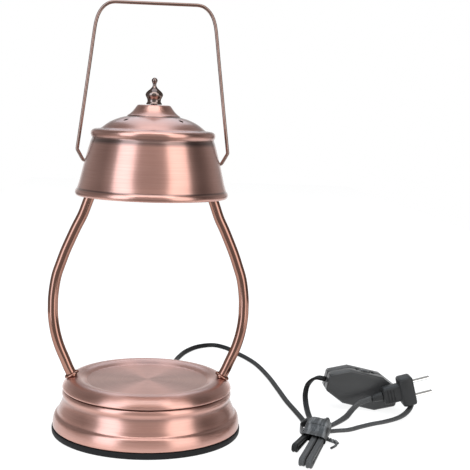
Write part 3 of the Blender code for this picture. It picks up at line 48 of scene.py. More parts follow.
right_of_view = level * math.cos(roll) + upward * math.sin(roll)
top_of_view = upward * math.cos(roll) - level * math.sin(roll)
camera_data = bpy.data.cameras.new("camera")
camera_data.sensor_width = 36
camera_data.lens = 76.36
camera_data.clip_start = 0.02
camera = bpy.data.objects.new("camera", camera_data)
bpy.context.scene.collection.objects.link(camera)
turn = Matrix((right_of_view, top_of_view, -looking)).transposed().to_4x4()
camera.matrix_world = Matrix.Translation(camera_place) @ turn
bpy.context.scene.camera = camera
bpy.context.scene.view_settings.view_transform = "Standard"

# Flat mains cord from the lamp to the dimmer and from there to the plug.
# Two stranded wires side by side in soft black PVC, extruded with a shallow groove between them, and so
# matt with a dull sheen along its edges. A wire tie holds three folds of it in a hank.
CORD_WIDTH, CORD_THICKNESS = 0.005, 0.0026
GROOVE = 0.7            # share of the half thickness that is left in the groove
SETTLING = 0.4 ** 0.12  # share of its slope that the wide side keeps from one point to the next
CORD_STEP = 0.0011      # between the points along the cord
FLOOR = 0.0016          # height of the cord's middle where it lies flat, a hair clear of the paper


def linear(code):
    """A colour written as an sRGB hex value, as the shader wants it."""
    parts = [int(code[i:i + 2], 16) / 255 for i in (0, 2, 4)]
    return tuple(c / 12.92 if c <= 0.04045 else ((c + 0.055) / 1.055) ** 2.4 for c in parts) + (1.0,)


def add_node(tree, kind, links=None, values=None, **settings):
    """Adds a node, sets its settings and input values, and links its inputs to other nodes' outputs."""
    node = tree.nodes.new(kind)
    for name, setting in settings.items():
        setattr(node, name, setting)
    for key, value in (values or {}).items():
        node.inputs[key].default_value = value
    for key, output in (links or {}).items():
        tree.links.new(output, node.inputs[key])
    return node


def finish_named(name, **surface):
    """A new material with its Principled shader's own numbers set; returns it, its tree and the shader."""
    made = bpy.data.materials.new(name)
    made.use_nodes = True
    shader = made.node_tree.nodes["Principled BSDF"]
    for key, value in surface.items():
        shader.inputs[key.replace("_", " ").title().replace("Ior", "IOR")].default_value = value
    return made, made.node_tree, shader


def moulded(name, colour, roughness, grain_mm, depth_mm, mottle=0.12, shine=0.5):
    """Moulded or extruded plastic or rubber: an even colour, a fine grain, and a faint cloudiness.

    mottle is how far the clouds go lighter and darker than the colour, as a share of it."""
    made, tree, shader = finish_named(name, roughness=roughness, specular_ior_level=shine)
    place = add_node(tree, "ShaderNodeTexCoord").outputs["Object"]
    clouds = 90     # to the metre, so each is about 11 mm across
    cloud = add_node(tree, "ShaderNodeTexNoise", {"Vector": place}, {"Scale": clouds, "Detail": 3})
    deep = tuple(c * (1 - mottle) for c in linear(colour)[:3]) + (1.0,)
    light = tuple(min(1.0, c * (1 + mottle)) for c in linear(colour)[:3]) + (1.0,)
    tint = add_node(tree, "ShaderNodeMix", {"Factor": cloud.outputs["Fac"]}, {6: deep, 7: light}, data_type="RGBA")
    tree.links.new(tint.outputs[2], shader.inputs["Base Color"])
    grain = add_node(tree, "ShaderNodeTexNoise", {"Vector": place}, {"Scale": 1000 / grain_mm, "Detail": 2})
    bump = add_node(tree, "ShaderNodeBump", {"Height": grain.outputs["Fac"]},
                    {"Strength": 0.6, "Distance": depth_mm / 1000})
    tree.links.new(bump.outputs["Normal"], shader.inputs["Normal"])
    rough = add_node(tree, "ShaderNodeMapRange", {"Value": cloud.outputs["Fac"]},
                     {"To Min": roughness - 0.06, "To Max": roughness + 0.08})
    tree.links.new(rough.outputs["Result"], shader.inputs["Roughness"])
    return made


cord_pvc = moulded("extruded_pvc", "1d1d1d", 0.42, 0.5, 0.02, shine=0.2)
# The same PVC drawn paler for the cord from the dimmer to the plug, hank included: painted light on it.
lit_cord_pvc = moulded("cord_pvc_painted_lighter", "4a4a4a", 0.45, 0.5, 0.02, shine=0.4)


def fine_line(points, pieces=24):
    """Points close together on a smooth curve through the given ones."""
    knots = [Vector(point) for point in points]
    knots = [2 * knots[0] - knots[1]] + knots + [2 * knots[-1] - knots[-2]]
    fine = []
    for a, b, c, d in zip(knots, knots[1:], knots[2:], knots[3:]):
        times = [0.0]
        for first, second in ((a, b), (b, c), (c, d)):
            times.append(times[-1] + math.sqrt((second - first).length))
        t0, t1, t2, t3 = times
        for k in range(pieces):
            t = t1 + (t2 - t1) * k / pieces
            ab = a * ((t1 - t) / (t1 - t0)) + b * ((t - t0) / (t1 - t0))
            bc = b * ((t2 - t) / (t2 - t1)) + c * ((t - t1) / (t2 - t1))
            cd = c * ((t3 - t) / (t3 - t2)) + d * ((t - t2) / (t3 - t2))
            abc = ab * ((t2 - t) / (t2 - t0)) + bc * ((t - t0) / (t2 - t0))
            bcd = bc * ((t3 - t) / (t3 - t1)) + cd * ((t - t1) / (t3 - t1))
            fine.append(abc * ((t2 - t) / (t2 - t1)) + bcd * ((t - t1) / (t2 - t1)))
    return fine + [knots[-2]]


def reach_along(line):
    """How far along the line each of its points is."""
    reach = [0.0]
    for first, second in zip(line, line[1:]):
        reach.append(reach[-1] + (second - first).length)
    return reach


def evenly(fine, step):
    """The same line with its points a step apart."""
    reach = reach_along(fine)
    count, spots, at = max(2, round(reach[-1] / step)), [], 0
    for k in range(count + 1):
        wanted = reach[-1] * k / count
        while at < len(fine) - 2 and reach[at + 1] < wanted:
            at += 1
        spots.append(fine[at].lerp(fine[at + 1], (wanted - reach[at]) / (reach[at + 1] - reach[at])))
    return spots


def linked(name, mesh, finish, body="lamp"):
    """Puts a mesh in the scene as a piece that rides on a body."""
    piece = bpy.data.objects.new(name, mesh)
    bpy.context.scene.collection.objects.link(piece)
    mesh.materials.clear()
    mesh.materials.append(finish)
    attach(piece, body)
    return piece


def outwards(mesh, weld=0.0):
    """Merges points closer than weld and points all faces outwards."""
    shape = bmesh.new()
    shape.from_mesh(mesh)
    if weld:
        bmesh.ops.remove_doubles(shape, verts=shape.verts, dist=weld)
    bmesh.ops.recalc_face_normals(shape, faces=shape.faces)
    shape.to_mesh(mesh)
    shape.free()


def flat_cord(name, line, on_edge, finish):
    """The cord's grooved section drawn along a line.

    on_edge gives each spot where it lies rolled on its edge, and the length over which it eases flat."""
    lobe = CORD_THICKNESS / 2
    shift = CORD_WIDTH / 2 - lobe
    section = []
    for side in (1, -1):
        for angle in (-100, -75, -50, -25, 0, 25, 50, 75, 100):
            a = math.radians(angle if side > 0 else angle + 180)
            section.append((side * shift + lobe * math.cos(a), lobe * math.sin(a)))
        section.append((0, side * lobe * GROOVE))
    last = len(line) - 1
    headings = [(line[min(i + 1, last)] - line[max(i - 1, 0)]).normalized() for i in range(last + 1)]
    reach = reach_along(line)
    rolls = []
    for spot, span in on_edge:
        nearest = min(range(last + 1), key=lambda i: (line[i] - Vector(spot)).length)
        rolls.append((reach[nearest], span))
    side = headings[0].cross(Vector((0, 0, 1))).normalized()
    verts, faces = [], []
    for i, heading in enumerate(headings):
        side = (side - heading * side.dot(heading)).normalized()
        side.z *= SETTLING
        side = (side - heading * side.dot(heading)).normalized()
        ease = max([max(0.0, 1 - abs(reach[i] - at) / span) for at, span in rolls] or [0.0])
        ease = ease * ease * (3 - 2 * ease)
        across = Matrix.Rotation(math.radians(90) * ease, 3, heading) @ side
        up = across.cross(heading)
        verts += [line[i] + across * x + up * y for x, y in section]
    size = len(section)
    for i in range(last):
        for j in range(size):
            k = (j + 1) % size
            faces.append((i * size + j, i * size + k, (i + 1) * size + k, (i + 1) * size + j))
    faces += [tuple(range(size))[::-1], tuple(range(last * size, (last + 1) * size))]
    mesh = bpy.data.meshes.new(name)
    mesh.from_pydata(verts, [], faces)
    mesh.shade_smooth()
    outwards(mesh)
    return linked(name, mesh, finish)


# The hank's passes lie in three columns and three layers, and are pinched together under the tie.
HANK_PLACE = (0.1395, -0.009)
hank_heading = math.radians(-108.5)
hank_out = Vector((math.cos(hank_heading), math.sin(hank_heading), 0))
hank_across = Vector((-hank_out.y, hank_out.x, 0))
first_column, third_column = -0.0058, 0.0058
low_layer, mid_layer, high_layer = 0.0027, 0.0058, 0.0089
fold_radius, fold_top, upper_fold_radius, pinch = 0.0021, 0.0058, 0.0024, 0.0044
rising = (FLOOR + low_layer) / 2


def hank_point(p, q, z):
    """A spot in the hank: p towards the folds, q across to the right, z up."""
    return Vector((*HANK_PLACE, z)) + hank_out * p + hank_across * q


def fold(reach, q, swing, high_end):
    """Out along the floor, round an upright half turn, and back above. swing turns it aside, in degrees."""
    tilt = Matrix.Rotation(math.radians(swing), 3, "Z")
    foot = hank_point(0, q, 0)
    centre = reach - fold_radius - CORD_THICKNESS / 2
    spots = [(0.010, low_layer), (0.020, FLOOR), (0.6 * centre, FLOOR), (0.85 * centre, FLOOR)]
    for k in range(9):
        angle = math.pi * k / 8
        spots.append((centre + fold_radius * math.sin(angle), FLOOR + fold_radius * (1 - math.cos(angle))))
    spots += [(share * centre, pinch + (fold_top - pinch) * ((share - 0.3) / 0.7) ** 1.5)
              for share in (0.8, 0.6, 0.4, 0.3)] + [(0.010, (pinch + high_end) / 2)]
    return [foot + tilt @ (hank_out * p) + Vector((0, 0, z)) for p, z in spots]


lamp_route = [(0, 0.0991, 0.0125), (0, 0.1011, 0.0125), (0, 0.1031, 0.0125), (0.0012, 0.1115, 0.0100),
              (0.0040, 0.1240, 0.0056), (0.0082, 0.1370, 0.0034), (0.0128, 0.1510, 0.0029),
              (0.0230, 0.1880, 0.0029), (0.0315, 0.2270, 0.0028), (0.0420, 0.2580, 0.0027),
              (0.0560, 0.2790, 0.0026), (0.0710, 0.2860, 0.0025), (0.0830, 0.2760, 0.0023),
              (0.0930, 0.2540, 0.0021), (0.1020, 0.2330, 0.0019), (0.1100, 0.2060, 0.0018),
              (0.1170, 0.1610, FLOOR), (0.1210, 0.1150, FLOOR), (0.1240, 0.0760, FLOOR), (0.1280, 0.0430, FLOOR),
              (0.1303, 0.0220, FLOOR), (0.1310, 0.0070, FLOOR), (0.1328, -0.0015, rising),
              hank_point(0, first_column, low_layer)]
lamp_route += fold(0.0555, first_column, -5.1, mid_layer)
lamp_route += [hank_point(0, first_column, mid_layer), (0.1360, -0.0010, 0.0054), (0.1371, 0.0080, 0.0034),
               (0.1372, 0.0240, FLOOR), (0.1378, 0.0400, FLOOR), (0.1384, 0.0520, 0.0024), (0.1389, 0.0630, 0.0056),
               (0.1398, 0.0710, 0.0108), (0.1422, 0.0745, 0.0175), (0.1466, 0.0716, 0.0235),
               (0.1500, 0.0682, 0.0256), (0.1524, 0.06605, 0.0258), (0.1543, 0.06605, 0.0254),
               (0.1563, 0.06605, 0.0249)]
lamp_line = evenly(fine_line(lamp_route), CORD_STEP)
lamp_cord = flat_cord("lamp_cord", lamp_line, [(lamp_route[0], 0.40), (lamp_route[-1], 0.045)], cord_pvc)
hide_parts("cord_lead", "hank_lamp_side", "cord_to_dimmer")

plug_route = [(0.2189, 0.06605, 0.0113), (0.2209, 0.06605, 0.0108), (0.2228, 0.06605, 0.0104),
              (0.2276, 0.0646, 0.0098), (0.2302, 0.0605, 0.0092), (0.2308, 0.0550, 0.0086),
              (0.2296, 0.0485, 0.0079), (0.2265, 0.0415, 0.0066), (0.2220, 0.0350, 0.0048),
              (0.2160, 0.0290, 0.0032), (0.2090, 0.0242, 0.0022), (0.1990, 0.0185, FLOOR), (0.1880, 0.0125, FLOOR),
              (0.1760, 0.0045, FLOOR), (0.1640, -0.0040, FLOOR), (0.1535, -0.0066, FLOOR),
              (0.1495, -0.0078, FLOOR), (0.1463, -0.0106, rising), hank_point(0.005, third_column, low_layer)]
plug_route += fold(0.0870, third_column, 0, mid_layer)
plug_route += [hank_point(0, third_column, mid_layer)]
for k in range(7):
    angle = math.pi * k / 6
    plug_route.append(hank_point(-0.0050 - upper_fold_radius * math.sin(angle), third_column * (1 - k / 18),
                                 mid_layer + upper_fold_radius * (1 - math.cos(angle))))
plug_route += [hank_point(0, third_column / 2, high_layer + 0.0006),
               hank_point(0.010, third_column / 4, high_layer)]
plug_route += fold(0.0840, 0, 0, high_layer)[-2::-1]
plug_route += [hank_point(0, 0, low_layer), (0.1413, -0.0042, rising), (0.1476, 0.0026, FLOOR),
               (0.1560, 0.0120, 0.0017), (0.1650, 0.0240, 0.0020), (0.1695, 0.0308, 0.0024),
               (0.1740, 0.0370, 0.0046), (0.1785, 0.0412, 0.0076), (0.1832, 0.0434, 0.0107),
               (0.1895, 0.0440, 0.0130), (0.1914, 0.0440, 0.0135), (0.1933, 0.0440, 0.0140)]
plug_line = evenly(fine_line(plug_route), CORD_STEP)
plug_cord = flat_cord("plug_cord", plug_line, [(plug_route[0], 0.045), (plug_route[-1], 0.060)], lit_cord_pvc)
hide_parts("cord_from_dimmer", "hank_plug_side", "cord_to_plug")

print(f"cord from the lamp {reach_along(lamp_line)[-1]:.3f} m, cord to the plug {reach_along(plug_line)[-1]:.3f} m")

# Rubber foot.
# A black moulded ring under the base that stops it sliding; matt, so that its outer edge shows as a dark line
# with no highlight.


def deselect():
    """Leaves edit mode and selects nothing."""
    if bpy.context.object and bpy.context.object.mode != "OBJECT":
        bpy.ops.object.mode_set(mode="OBJECT")
    bpy.ops.object.select_all(action="DESELECT")


def select_only(piece):
    """Selects one piece and nothing else."""
    deselect()
    piece.select_set(True)
    bpy.context.view_layer.objects.active = piece


def apply_all(piece):
    """Applies the piece's modifiers and its place."""
    select_only(piece)
    for modifier in list(piece.modifiers):
        bpy.ops.object.modifier_apply(modifier=modifier.name)
    bpy.ops.object.transform_apply(location=True, rotation=True, scale=True)


def spun(name, outline, finish, body="lamp", sides=64, wall=0.0, rounds=2, closed=False, inside=None):
    """Pulls a ring of edges along an outline of (radius, height) in mm, like sheet over a former.

    wall gives the sheet's thickness in mm, inwards, and inside its finish there; a closed outline ends where it
    starts; rounds are the levels of smoothing."""
    deselect()
    outline = [(radius / 1000, height / 1000) for radius, height in outline]
    (radius, height), onward = outline[0], outline[1:]
    bpy.ops.mesh.primitive_circle_add(vertices=sides, radius=radius, location=(0, 0, height), fill_type="NOTHING")
    piece = bpy.context.object
    piece.name = piece.data.name = name
    piece.data.materials.append(finish)
    if inside:
        piece.data.materials.append(inside)
    bpy.ops.object.mode_set(mode="EDIT")
    bpy.ops.mesh.select_all(action="SELECT")
    for next_radius, next_height in onward:
        bpy.ops.mesh.extrude_region_move(TRANSFORM_OT_translate={"value": (0, 0, next_height - height)})
        if next_radius:
            factor = next_radius / radius
            bpy.ops.transform.resize(value=(factor, factor, 1), center_override=(0, 0, 0))
            radius = next_radius
        else:
            bpy.ops.mesh.merge(type="CENTER")
        height = next_height
    bpy.ops.mesh.select_all(action="SELECT")
    if closed:
        bpy.ops.mesh.remove_doubles(threshold=0.00002)
    bpy.ops.mesh.normals_make_consistent(inside=False)
    bpy.ops.object.mode_set(mode="OBJECT")
    if wall:
        sheet = piece.modifiers.new("sheet", "SOLIDIFY")
        sheet.thickness = wall / 1000
        sheet.offset = -1
        sheet.material_offset = 1 if inside else 0
    if rounds:
        smooth = piece.modifiers.new("smooth", "SUBSURF")
        smooth.levels = smooth.render_levels = rounds
    apply_all(piece)
    piece.data.shade_smooth()
    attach(piece, body)
    return piece


rubber = moulded("moulded_rubber", "1b1b1c", 0.6, 0.8, 0.03, shine=0.2)
foot = spun("rubber_foot", [
    (66.2, 5.3), (69, 5.1), (74.0, 4.75), (74.8, 4.65), (75, 4.1), (75, 2.5), (74.9, 0.5), (74.3, 0.05), (72, 0),
    (66, 0), (60.8, 0), (60.1, 0.2), (60, 1.0), (60, 2.4), (60.2, 2.8), (62, 2.8), (65.6, 2.8), (66, 3.1),
    (66, 4.8), (66.2, 5.3)], rubber, rounds=1, closed=True)
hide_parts("foot_ring")

# Spun base shell.
# Copper-plated steel sheet spun over a former and brushed while it turns, so fine lines run round it and
# light gathers in upright bands. Lacquer keeps it bright. Its hollows are darkened towards dark brown, partly
# as patina and partly as painted shade.
SHEET_MM = 1.0
BRUSH_PITCH_MM = 0.45   # the real lines are too fine to show, so they are drawn this coarse


def brushed_copper(name, line_mm, darkness, roughness, stretch=0.8, edge=0.6, hollows=()):
    """Plated sheet with brush lines round the axis, a pitch in mm apart, patina in clouds, and darker hollows.

    A hollow is its height and half its width in mm, and how far it darkens, partly as patina and partly as painted
    shade. stretch draws highlights out across the lines, and edge dulls what the metal mirrors at a slant."""
    made, tree, shader = finish_named(name, metallic=1.0, roughness=roughness, anisotropic=stretch,
                                      anisotropic_rotation=0.25, coat_weight=1.0, coat_roughness=0.24,
                                      coat_ior=1.85, specular_tint=(edge, edge * 0.85, edge * 0.8, 1.0))
    place = add_node(tree, "ShaderNodeTexCoord").outputs["Object"]
    axes = add_node(tree, "ShaderNodeSeparateXYZ", {"Vector": place})
    flat = add_node(tree, "ShaderNodeCombineXYZ", {"X": axes.outputs["X"], "Y": axes.outputs["Y"]})
    radius = add_node(tree, "ShaderNodeVectorMath", {0: flat.outputs["Vector"]}, operation="LENGTH")
    along = add_node(tree, "ShaderNodeMath", {0: radius.outputs["Value"], 1: axes.outputs["Z"]},
                     operation="SUBTRACT")
    pitch_scale = add_node(tree, "ShaderNodeMath", {0: along.outputs[0]}, {1: 1000 / line_mm}, operation="MULTIPLY")
    streak = 1000 / 40      # a line runs about 40 mm before it fades into the next
    x_scale = add_node(tree, "ShaderNodeMath", {0: axes.outputs["X"]}, {1: streak}, operation="MULTIPLY")
    y_scale = add_node(tree, "ShaderNodeMath", {0: axes.outputs["Y"]}, {1: streak}, operation="MULTIPLY")
    thread = add_node(tree, "ShaderNodeCombineXYZ", {"X": x_scale.outputs[0], "Y": y_scale.outputs[0],
                                                     "Z": pitch_scale.outputs[0]})
    lines = add_node(tree, "ShaderNodeTexNoise", {"Vector": thread.outputs["Vector"]},
                     {"Scale": 1.0, "Detail": 4, "Roughness": 0.65})
    clouds = 28     # to the metre, so each is about 36 mm across
    cloud = add_node(tree, "ShaderNodeTexNoise", {"Vector": place}, {"Scale": clouds, "Detail": 3})
    shade_of_line = add_node(tree, "ShaderNodeValToRGB", {"Fac": lines.outputs["Fac"]})
    for element, (spot, tone) in zip(shade_of_line.color_ramp.elements, ((0.26, "c68c7c"), (0.74, "d8a191"))):
        element.position, element.color = spot, linear(tone)
    patina = add_node(tree, "ShaderNodeMapRange", {"Value": cloud.outputs["Fac"]},
                      {"From Min": 0.35, "From Max": 0.75, "To Min": 0, "To Max": darkness})
    tint = add_node(tree, "ShaderNodeMix", {"Factor": patina.outputs["Result"], 6: shade_of_line.outputs["Color"]},
                    {7: linear("a87362")}, data_type="RGBA")
    depth = add_node(tree, "ShaderNodeValue")
    depth.outputs[0].default_value = 0.0
    for height, half, most in hollows:
        away = add_node(tree, "ShaderNodeMath", {0: axes.outputs["Z"]}, {1: height / 1000}, operation="SUBTRACT")
        gap = add_node(tree, "ShaderNodeMath", {0: away.outputs[0]}, operation="ABSOLUTE")
        near = add_node(tree, "ShaderNodeMapRange", {"Value": gap.outputs[0]},
                        {"From Min": half / 1000, "From Max": half / 4000, "To Min": 0, "To Max": most})
        depth = add_node(tree, "ShaderNodeMath", {0: depth.outputs[0], 1: near.outputs["Result"]},
                         operation="MAXIMUM")
    # Each hollow band mixes the colour towards dark brown: partly patina, partly painted shade.
    aged_and_shaded = add_node(tree, "ShaderNodeMix", {"Factor": depth.outputs[0], 6: tint.outputs[2]},
                    {7: linear("3e2a24")}, data_type="RGBA")
    tree.links.new(aged_and_shaded.outputs[2], shader.inputs["Base Color"])
    rough = add_node(tree, "ShaderNodeMapRange", {"Value": lines.outputs["Fac"]},
                     {"To Min": roughness + 0.04, "To Max": roughness - 0.04})
    tree.links.new(rough.outputs["Result"], shader.inputs["Roughness"])
    bump = add_node(tree, "ShaderNodeBump", {"Height": lines.outputs["Fac"]},
                    {"Strength": 0.12, "Distance": 0.00003})
    tree.links.new(bump.outputs["Normal"], shader.inputs["Normal"])
    grain_way = add_node(tree, "ShaderNodeTangent", direction_type="RADIAL", axis="Z")
    tree.links.new(grain_way.outputs["Tangent"], shader.inputs["Tangent"])
    return made


# Its one hollow is the neck under the deck, darkened partly as patina and partly as painted shade under the deck's
# lip.
base_copper = brushed_copper("brushed_copper_plate", BRUSH_PITCH_MM, 0.25, 0.33, hollows=[(27.6, 2.2, 0.3)])
base = spun("spun_base", [
    (52, 5.6), (53, 5.6), (62, 5.6), (72.6, 5.3), (74.0, 5.05), (74.35, 5.7), (74.25, 8.5), (73.8, 11.2),
    (73.3, 13.2), (72.75, 14.4), (71.9, 15.1), (71.0, 15.5), (70.5, 16.2), (70.15, 17.3), (69.7, 18.6),
    (68.8, 20.6), (67.6, 23.2), (66.8, 25.4), (66.4, 27.2), (66.35, 28.3), (66.7, 29.2), (67.05, 30.3),
    (67.1, 31.6), (66.7, 33.2), (65.6, 34.4), (64, 34.8), (62, 34.8), (45, 34.8), (22, 34.8), (20, 34.8)],
    base_copper, wall=SHEET_MM)
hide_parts("base_shell")

# Candle dish.
# The same plated sheet spun as a lid with a raised ring; its flat middle was brushed on the lathe last, so
# light turns on it like on a record.
dish_copper = brushed_copper("brushed_copper_lid", BRUSH_PITCH_MM, 0.18, 0.34, stretch=0.95, edge=1.0)
dish = spun("spun_dish", [
    (66.6, 35.1), (66.9, 35.3), (67.1, 36.0), (66.6, 37.4), (65.4, 39.2), (63.6, 41.2), (61.0, 42.9),
    (58.4, 43.8), (55.6, 44.0), (53.0, 43.6), (50.8, 42.7), (49.2, 41.7), (48.1, 41.0), (47.7, 40.8), (47.2, 40.8),
    (30, 40.8), (12, 40.8), (3, 40.8), (0.8, 40.8), (0, 40.8)], dish_copper, wall=SHEET_MM)
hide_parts("candle_dish")

# Arms and collars.
# Steel tubes bent on a die, polished lengthways and copper plated: nearly a mirror, so each shows a bright
# line between dark ones. A small turned collar hides the hole where each enters the dish.
TUBE_RADIUS = 0.004


def polished_copper(name, roughness, light, deep, edge=0.4):
    """Plated and buffed copper, with soft cloudiness where the patina was rubbed back.

    edge dulls what it mirrors at a slant, as patina does."""
    made, tree, shader = finish_named(name, metallic=1.0, roughness=roughness,
                                      specular_tint=(edge, edge * 0.85, edge * 0.8, 1.0))
    place = add_node(tree, "ShaderNodeTexCoord").outputs["Object"]
    clouds = 22     # to the metre, so each is about 45 mm across
    cloud = add_node(tree, "ShaderNodeTexNoise", {"Vector": place}, {"Scale": clouds, "Detail": 3})
    tint = add_node(tree, "ShaderNodeMix", {"Factor": cloud.outputs["Fac"]}, {6: linear(deep), 7: linear(light)},
                    data_type="RGBA")
    tree.links.new(tint.outputs[2], shader.inputs["Base Color"])
    rough = add_node(tree, "ShaderNodeMapRange", {"Value": cloud.outputs["Fac"]},
                     {"To Min": roughness + 0.03, "To Max": max(0.02, roughness - 0.03)})
    tree.links.new(rough.outputs["Result"], shader.inputs["Roughness"])
    return made


def bent_tube(name, line, radius, finish, body="lamp", roundness=6):
    """A round tube or wire along a line, with closed ends."""
    curve = bpy.data.curves.new(name + "_line", "CURVE")
    curve.dimensions = "3D"
    curve.bevel_depth = radius
    curve.bevel_resolution = roundness
    curve.use_fill_caps = True
    spline = curve.splines.new("POLY")
    spline.points.add(len(line) - 1)
    for knot, point in zip(spline.points, line):
        knot.co = (*point, 1.0)
    spline.use_smooth = True
    holder = bpy.data.objects.new(name + "_line", curve)
    bpy.context.scene.collection.objects.link(holder)
    mesh = bpy.data.meshes.new_from_object(holder.evaluated_get(bpy.context.evaluated_depsgraph_get()))
    bpy.data.objects.remove(holder, do_unlink=True)
    mesh.name = name
    outwards(mesh, 0.00001)
    mesh.shade_smooth()
    return linked(name, mesh, finish, body)


arm_copper = polished_copper("polished_copper_tube", 0.12, "b58a7b", "966d5f", edge=0.25)
arm_route = [(57.5, 24), (57.5, 29), (57.5, 36), (59.3, 43), (62.5, 49.5), (65.2, 56), (69.5, 66), (72.5, 75.5),
             (74.4, 85), (75.3, 94), (75.3, 100), (75.3, 104.5), (74.4, 114), (72.6, 124), (69.5, 133.4),
             (66.1, 143), (62.1, 152.5), (57.9, 162), (53.3, 171.5), (49.5, 182), (46.2, 191), (44, 197), (41, 207),
             (38.75, 215.8), (38, 221.9), (38, 229.4), (38, 236.2)]
for side, name in ((1, "right_arm"), (-1, "left_arm")):
    line = evenly(fine_line([(side * x / 1000, 0, z / 1000) for x, z in arm_route], 8), 0.003)
    arm = bent_tube(name + "_tube", line, TUBE_RADIUS, arm_copper)
    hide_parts(name)
for side, name in ((1, "right_collar"), (-1, "left_collar")):
    collar = spun(name + "_ring", [(4.3, 0.2), (4.3, 0), (4.6, 0), (5.4, 0), (5.9, 0.1), (6.0, 0.6), (5.9, 1.2),
                                   (5.3, 1.7), (4.9, 2.0), (4.5, 2.0), (4.3, 1.8), (4.3, 0.2)],
                  arm_copper, sides=32, rounds=1, closed=True)
    heading = Vector((side * 0.44, 0, 0.898))
    seat = Vector((side * 0.0595, 0, 0.0436))
    lean = Vector((0, 0, 1)).rotation_difference(heading).to_matrix().to_4x4()
    collar.data.transform(Matrix.Translation(seat) @ lean)
    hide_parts(name)

# Shade.
# A bell spun from one disc of steel, brushed and copper plated like the base: cap, pierced dome, rolled
# shoulder, flared wall and a rolled rim. Four small holes let the bulb's heat out.
VENT_RING, VENT_HEIGHT, VENT_RADIUS = 0.0295, 0.246, 0.00175
PIVOT_HEIGHT, PIVOT_RADIUS = 0.214, 0.0016
# Its hollows are the groove under the shoulder, the crease above the rim and the foot of the cap, darkened
# partly as patina and partly as painted shade.
shade_copper = brushed_copper("brushed_copper_bell", BRUSH_PITCH_MM, 0.25, 0.30,
                              hollows=[(230.4, 3.2, 0.75), (193.0, 1.0, 0.6), (249.2, 0.8, 0.7)])
# Inside, and on the walls of holes drilled in it, the sheet is a dull dark brown: an unpolished plate, and painted
# shade so that the holes read dark.
dull_plate_and_shade = moulded("unpolished_plate_and_shade", "2e201c", 0.6, 0.8, 0.02)
shade = spun("spun_shade", [
    (2.8, 258.2), (4.0, 258.2), (10.4, 258.2), (12.0, 258.15), (12.9, 257.7), (13.7, 256.6), (14.7, 255.2),
    (16.2, 253.2), (18.2, 251.3), (19.7, 250.3), (20.4, 249.9), (20.55, 249.3), (21.0, 249.0), (23.2, 248.6),
    (26.6, 247.6), (30.7, 246.0), (34.0, 244.3), (36.7, 242.5), (39.0, 240.6), (40.3, 239.6), (41.3, 239.25),
    (43.6, 239.1), (45.9, 238.8), (47.6, 237.7), (48.35, 236.2), (48.25, 234.6), (47.7, 233.2), (47.25, 232.3),
    (47.3, 231.5), (47.75, 230.6), (48.2, 229.6), (49.7, 224.2), (51.5, 217.8), (53.3, 211.2), (54.8, 204.6),
    (56.1, 199.0), (57.0, 196.0), (57.6, 194.3), (57.9, 193.2), (58.3, 192.6), (59.1, 191.7), (59.6, 190.4),
    (59.6, 189.1), (59.1, 187.9), (58.4, 187.3)], shade_copper, wall=SHEET_MM, inside=dull_plate_and_shade)


def pierce(piece, centre, radius, depth, tilt=(0, 0, 0)):
    """Drills a round hole, upright unless it is tilted."""
    deselect()
    bpy.ops.mesh.primitive_cylinder_add(vertices=24, radius=radius, depth=depth, location=centre, rotation=tilt)
    drill = bpy.context.object
    # The hole's wall takes that dark finish as painted shade.
    drill.data.materials.append(dull_plate_and_shade)
    hole = piece.modifiers.new("hole", "BOOLEAN")
    hole.operation = "DIFFERENCE"
    hole.object = drill
    hole.solver = "EXACT"
    hole.material_mode = "TRANSFER"
    select_only(piece)
    bpy.ops.object.modifier_apply(modifier="hole")
    bpy.data.objects.remove(drill, do_unlink=True)


for k in range(4):
    around = math.radians(45 + 90 * k)
    pierce(shade, (VENT_RING * math.cos(around), VENT_RING * math.sin(around), VENT_HEIGHT), VENT_RADIUS, 0.02)
for side in (1, -1):
    pierce(shade, (side * 0.052, 0, PIVOT_HEIGHT), PIVOT_RADIUS, 0.012, (0, math.radians(90), 0))
# The cord leaves the base through a hole at the back.
pierce(base, (0, 0.0715, 0.0125), 0.0043, 0.012, (math.radians(90), 0, 0))
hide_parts("shade")

# Finial.
# A turned onion knob that screws down on the rod and clamps the shade. It is plated and buffed to a mirror, so
# it shows the dark and the light of the room in thin stripes.
finial_copper = polished_copper("buffed_copper_knob", 0.05, "a3918b", "5a4c47", edge=0.15)
finial = spun("onion_finial", [
    (2.8, 266.5), (2.8, 262), (2.8, 258.7), (3.0, 258.5), (4.6, 258.5), (5.9, 258.5), (6.15, 258.8), (6.1, 259.3),
    (5.5, 259.9), (5.2, 260.6), (5.15, 261.4), (5.3, 262.6), (6.0, 263.9), (6.75, 265.3), (6.85, 266.4),
    (6.2, 267.7), (5.0, 268.9), (3.8, 269.9), (2.5, 271.0), (1.75, 272.1), (1.35, 273.0), (1.35, 274.1),
    (1.6, 275.0), (2.1, 275.9), (2.35, 276.9), (2.1, 277.9), (1.4, 278.7), (0.6, 279.05), (0, 279.1)],
    finial_copper, sides=32)
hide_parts("finial")

# Bail.
# Copper-plated steel wire bent over formers: a flat top with rounded corners, straight legs, and hooked ends
# that pass through the shade and let it swing. It is drawn wire, so the plate over it is duller than a tube's.
WIRE_RADIUS = 0.0013
bail_copper = polished_copper("plated_wire", 0.16, "ae938a", "83695f", edge=0.2)
half = [(48.4, -4.6), (48.4, -3.1), (48.5, -1.6), (48.9, -0.5), (49.9, 0), (51.3, 0), (52.8, 0), (53.5, 0.28),
        (54.1, 0.95), (55.7, 3.7), (57.3, 6.6), (58.05, 7.9), (58.3, 8.9), (58.1, 10.6), (54.0, 41.7), (49.7, 75.3),
        (46.0, 104.0), (45.2, 107.5), (44.0, 111.2), (42.0, 114.9), (39.4, 117.9), (36.0, 120.2), (32.4, 121.1),
        (29.0, 121.2), (22, 121.2), (11, 121.2), (0, 121.2)]
route = [(-x, z) for x, z in half] + [(x, z) for x, z in reversed(half[:-1])]
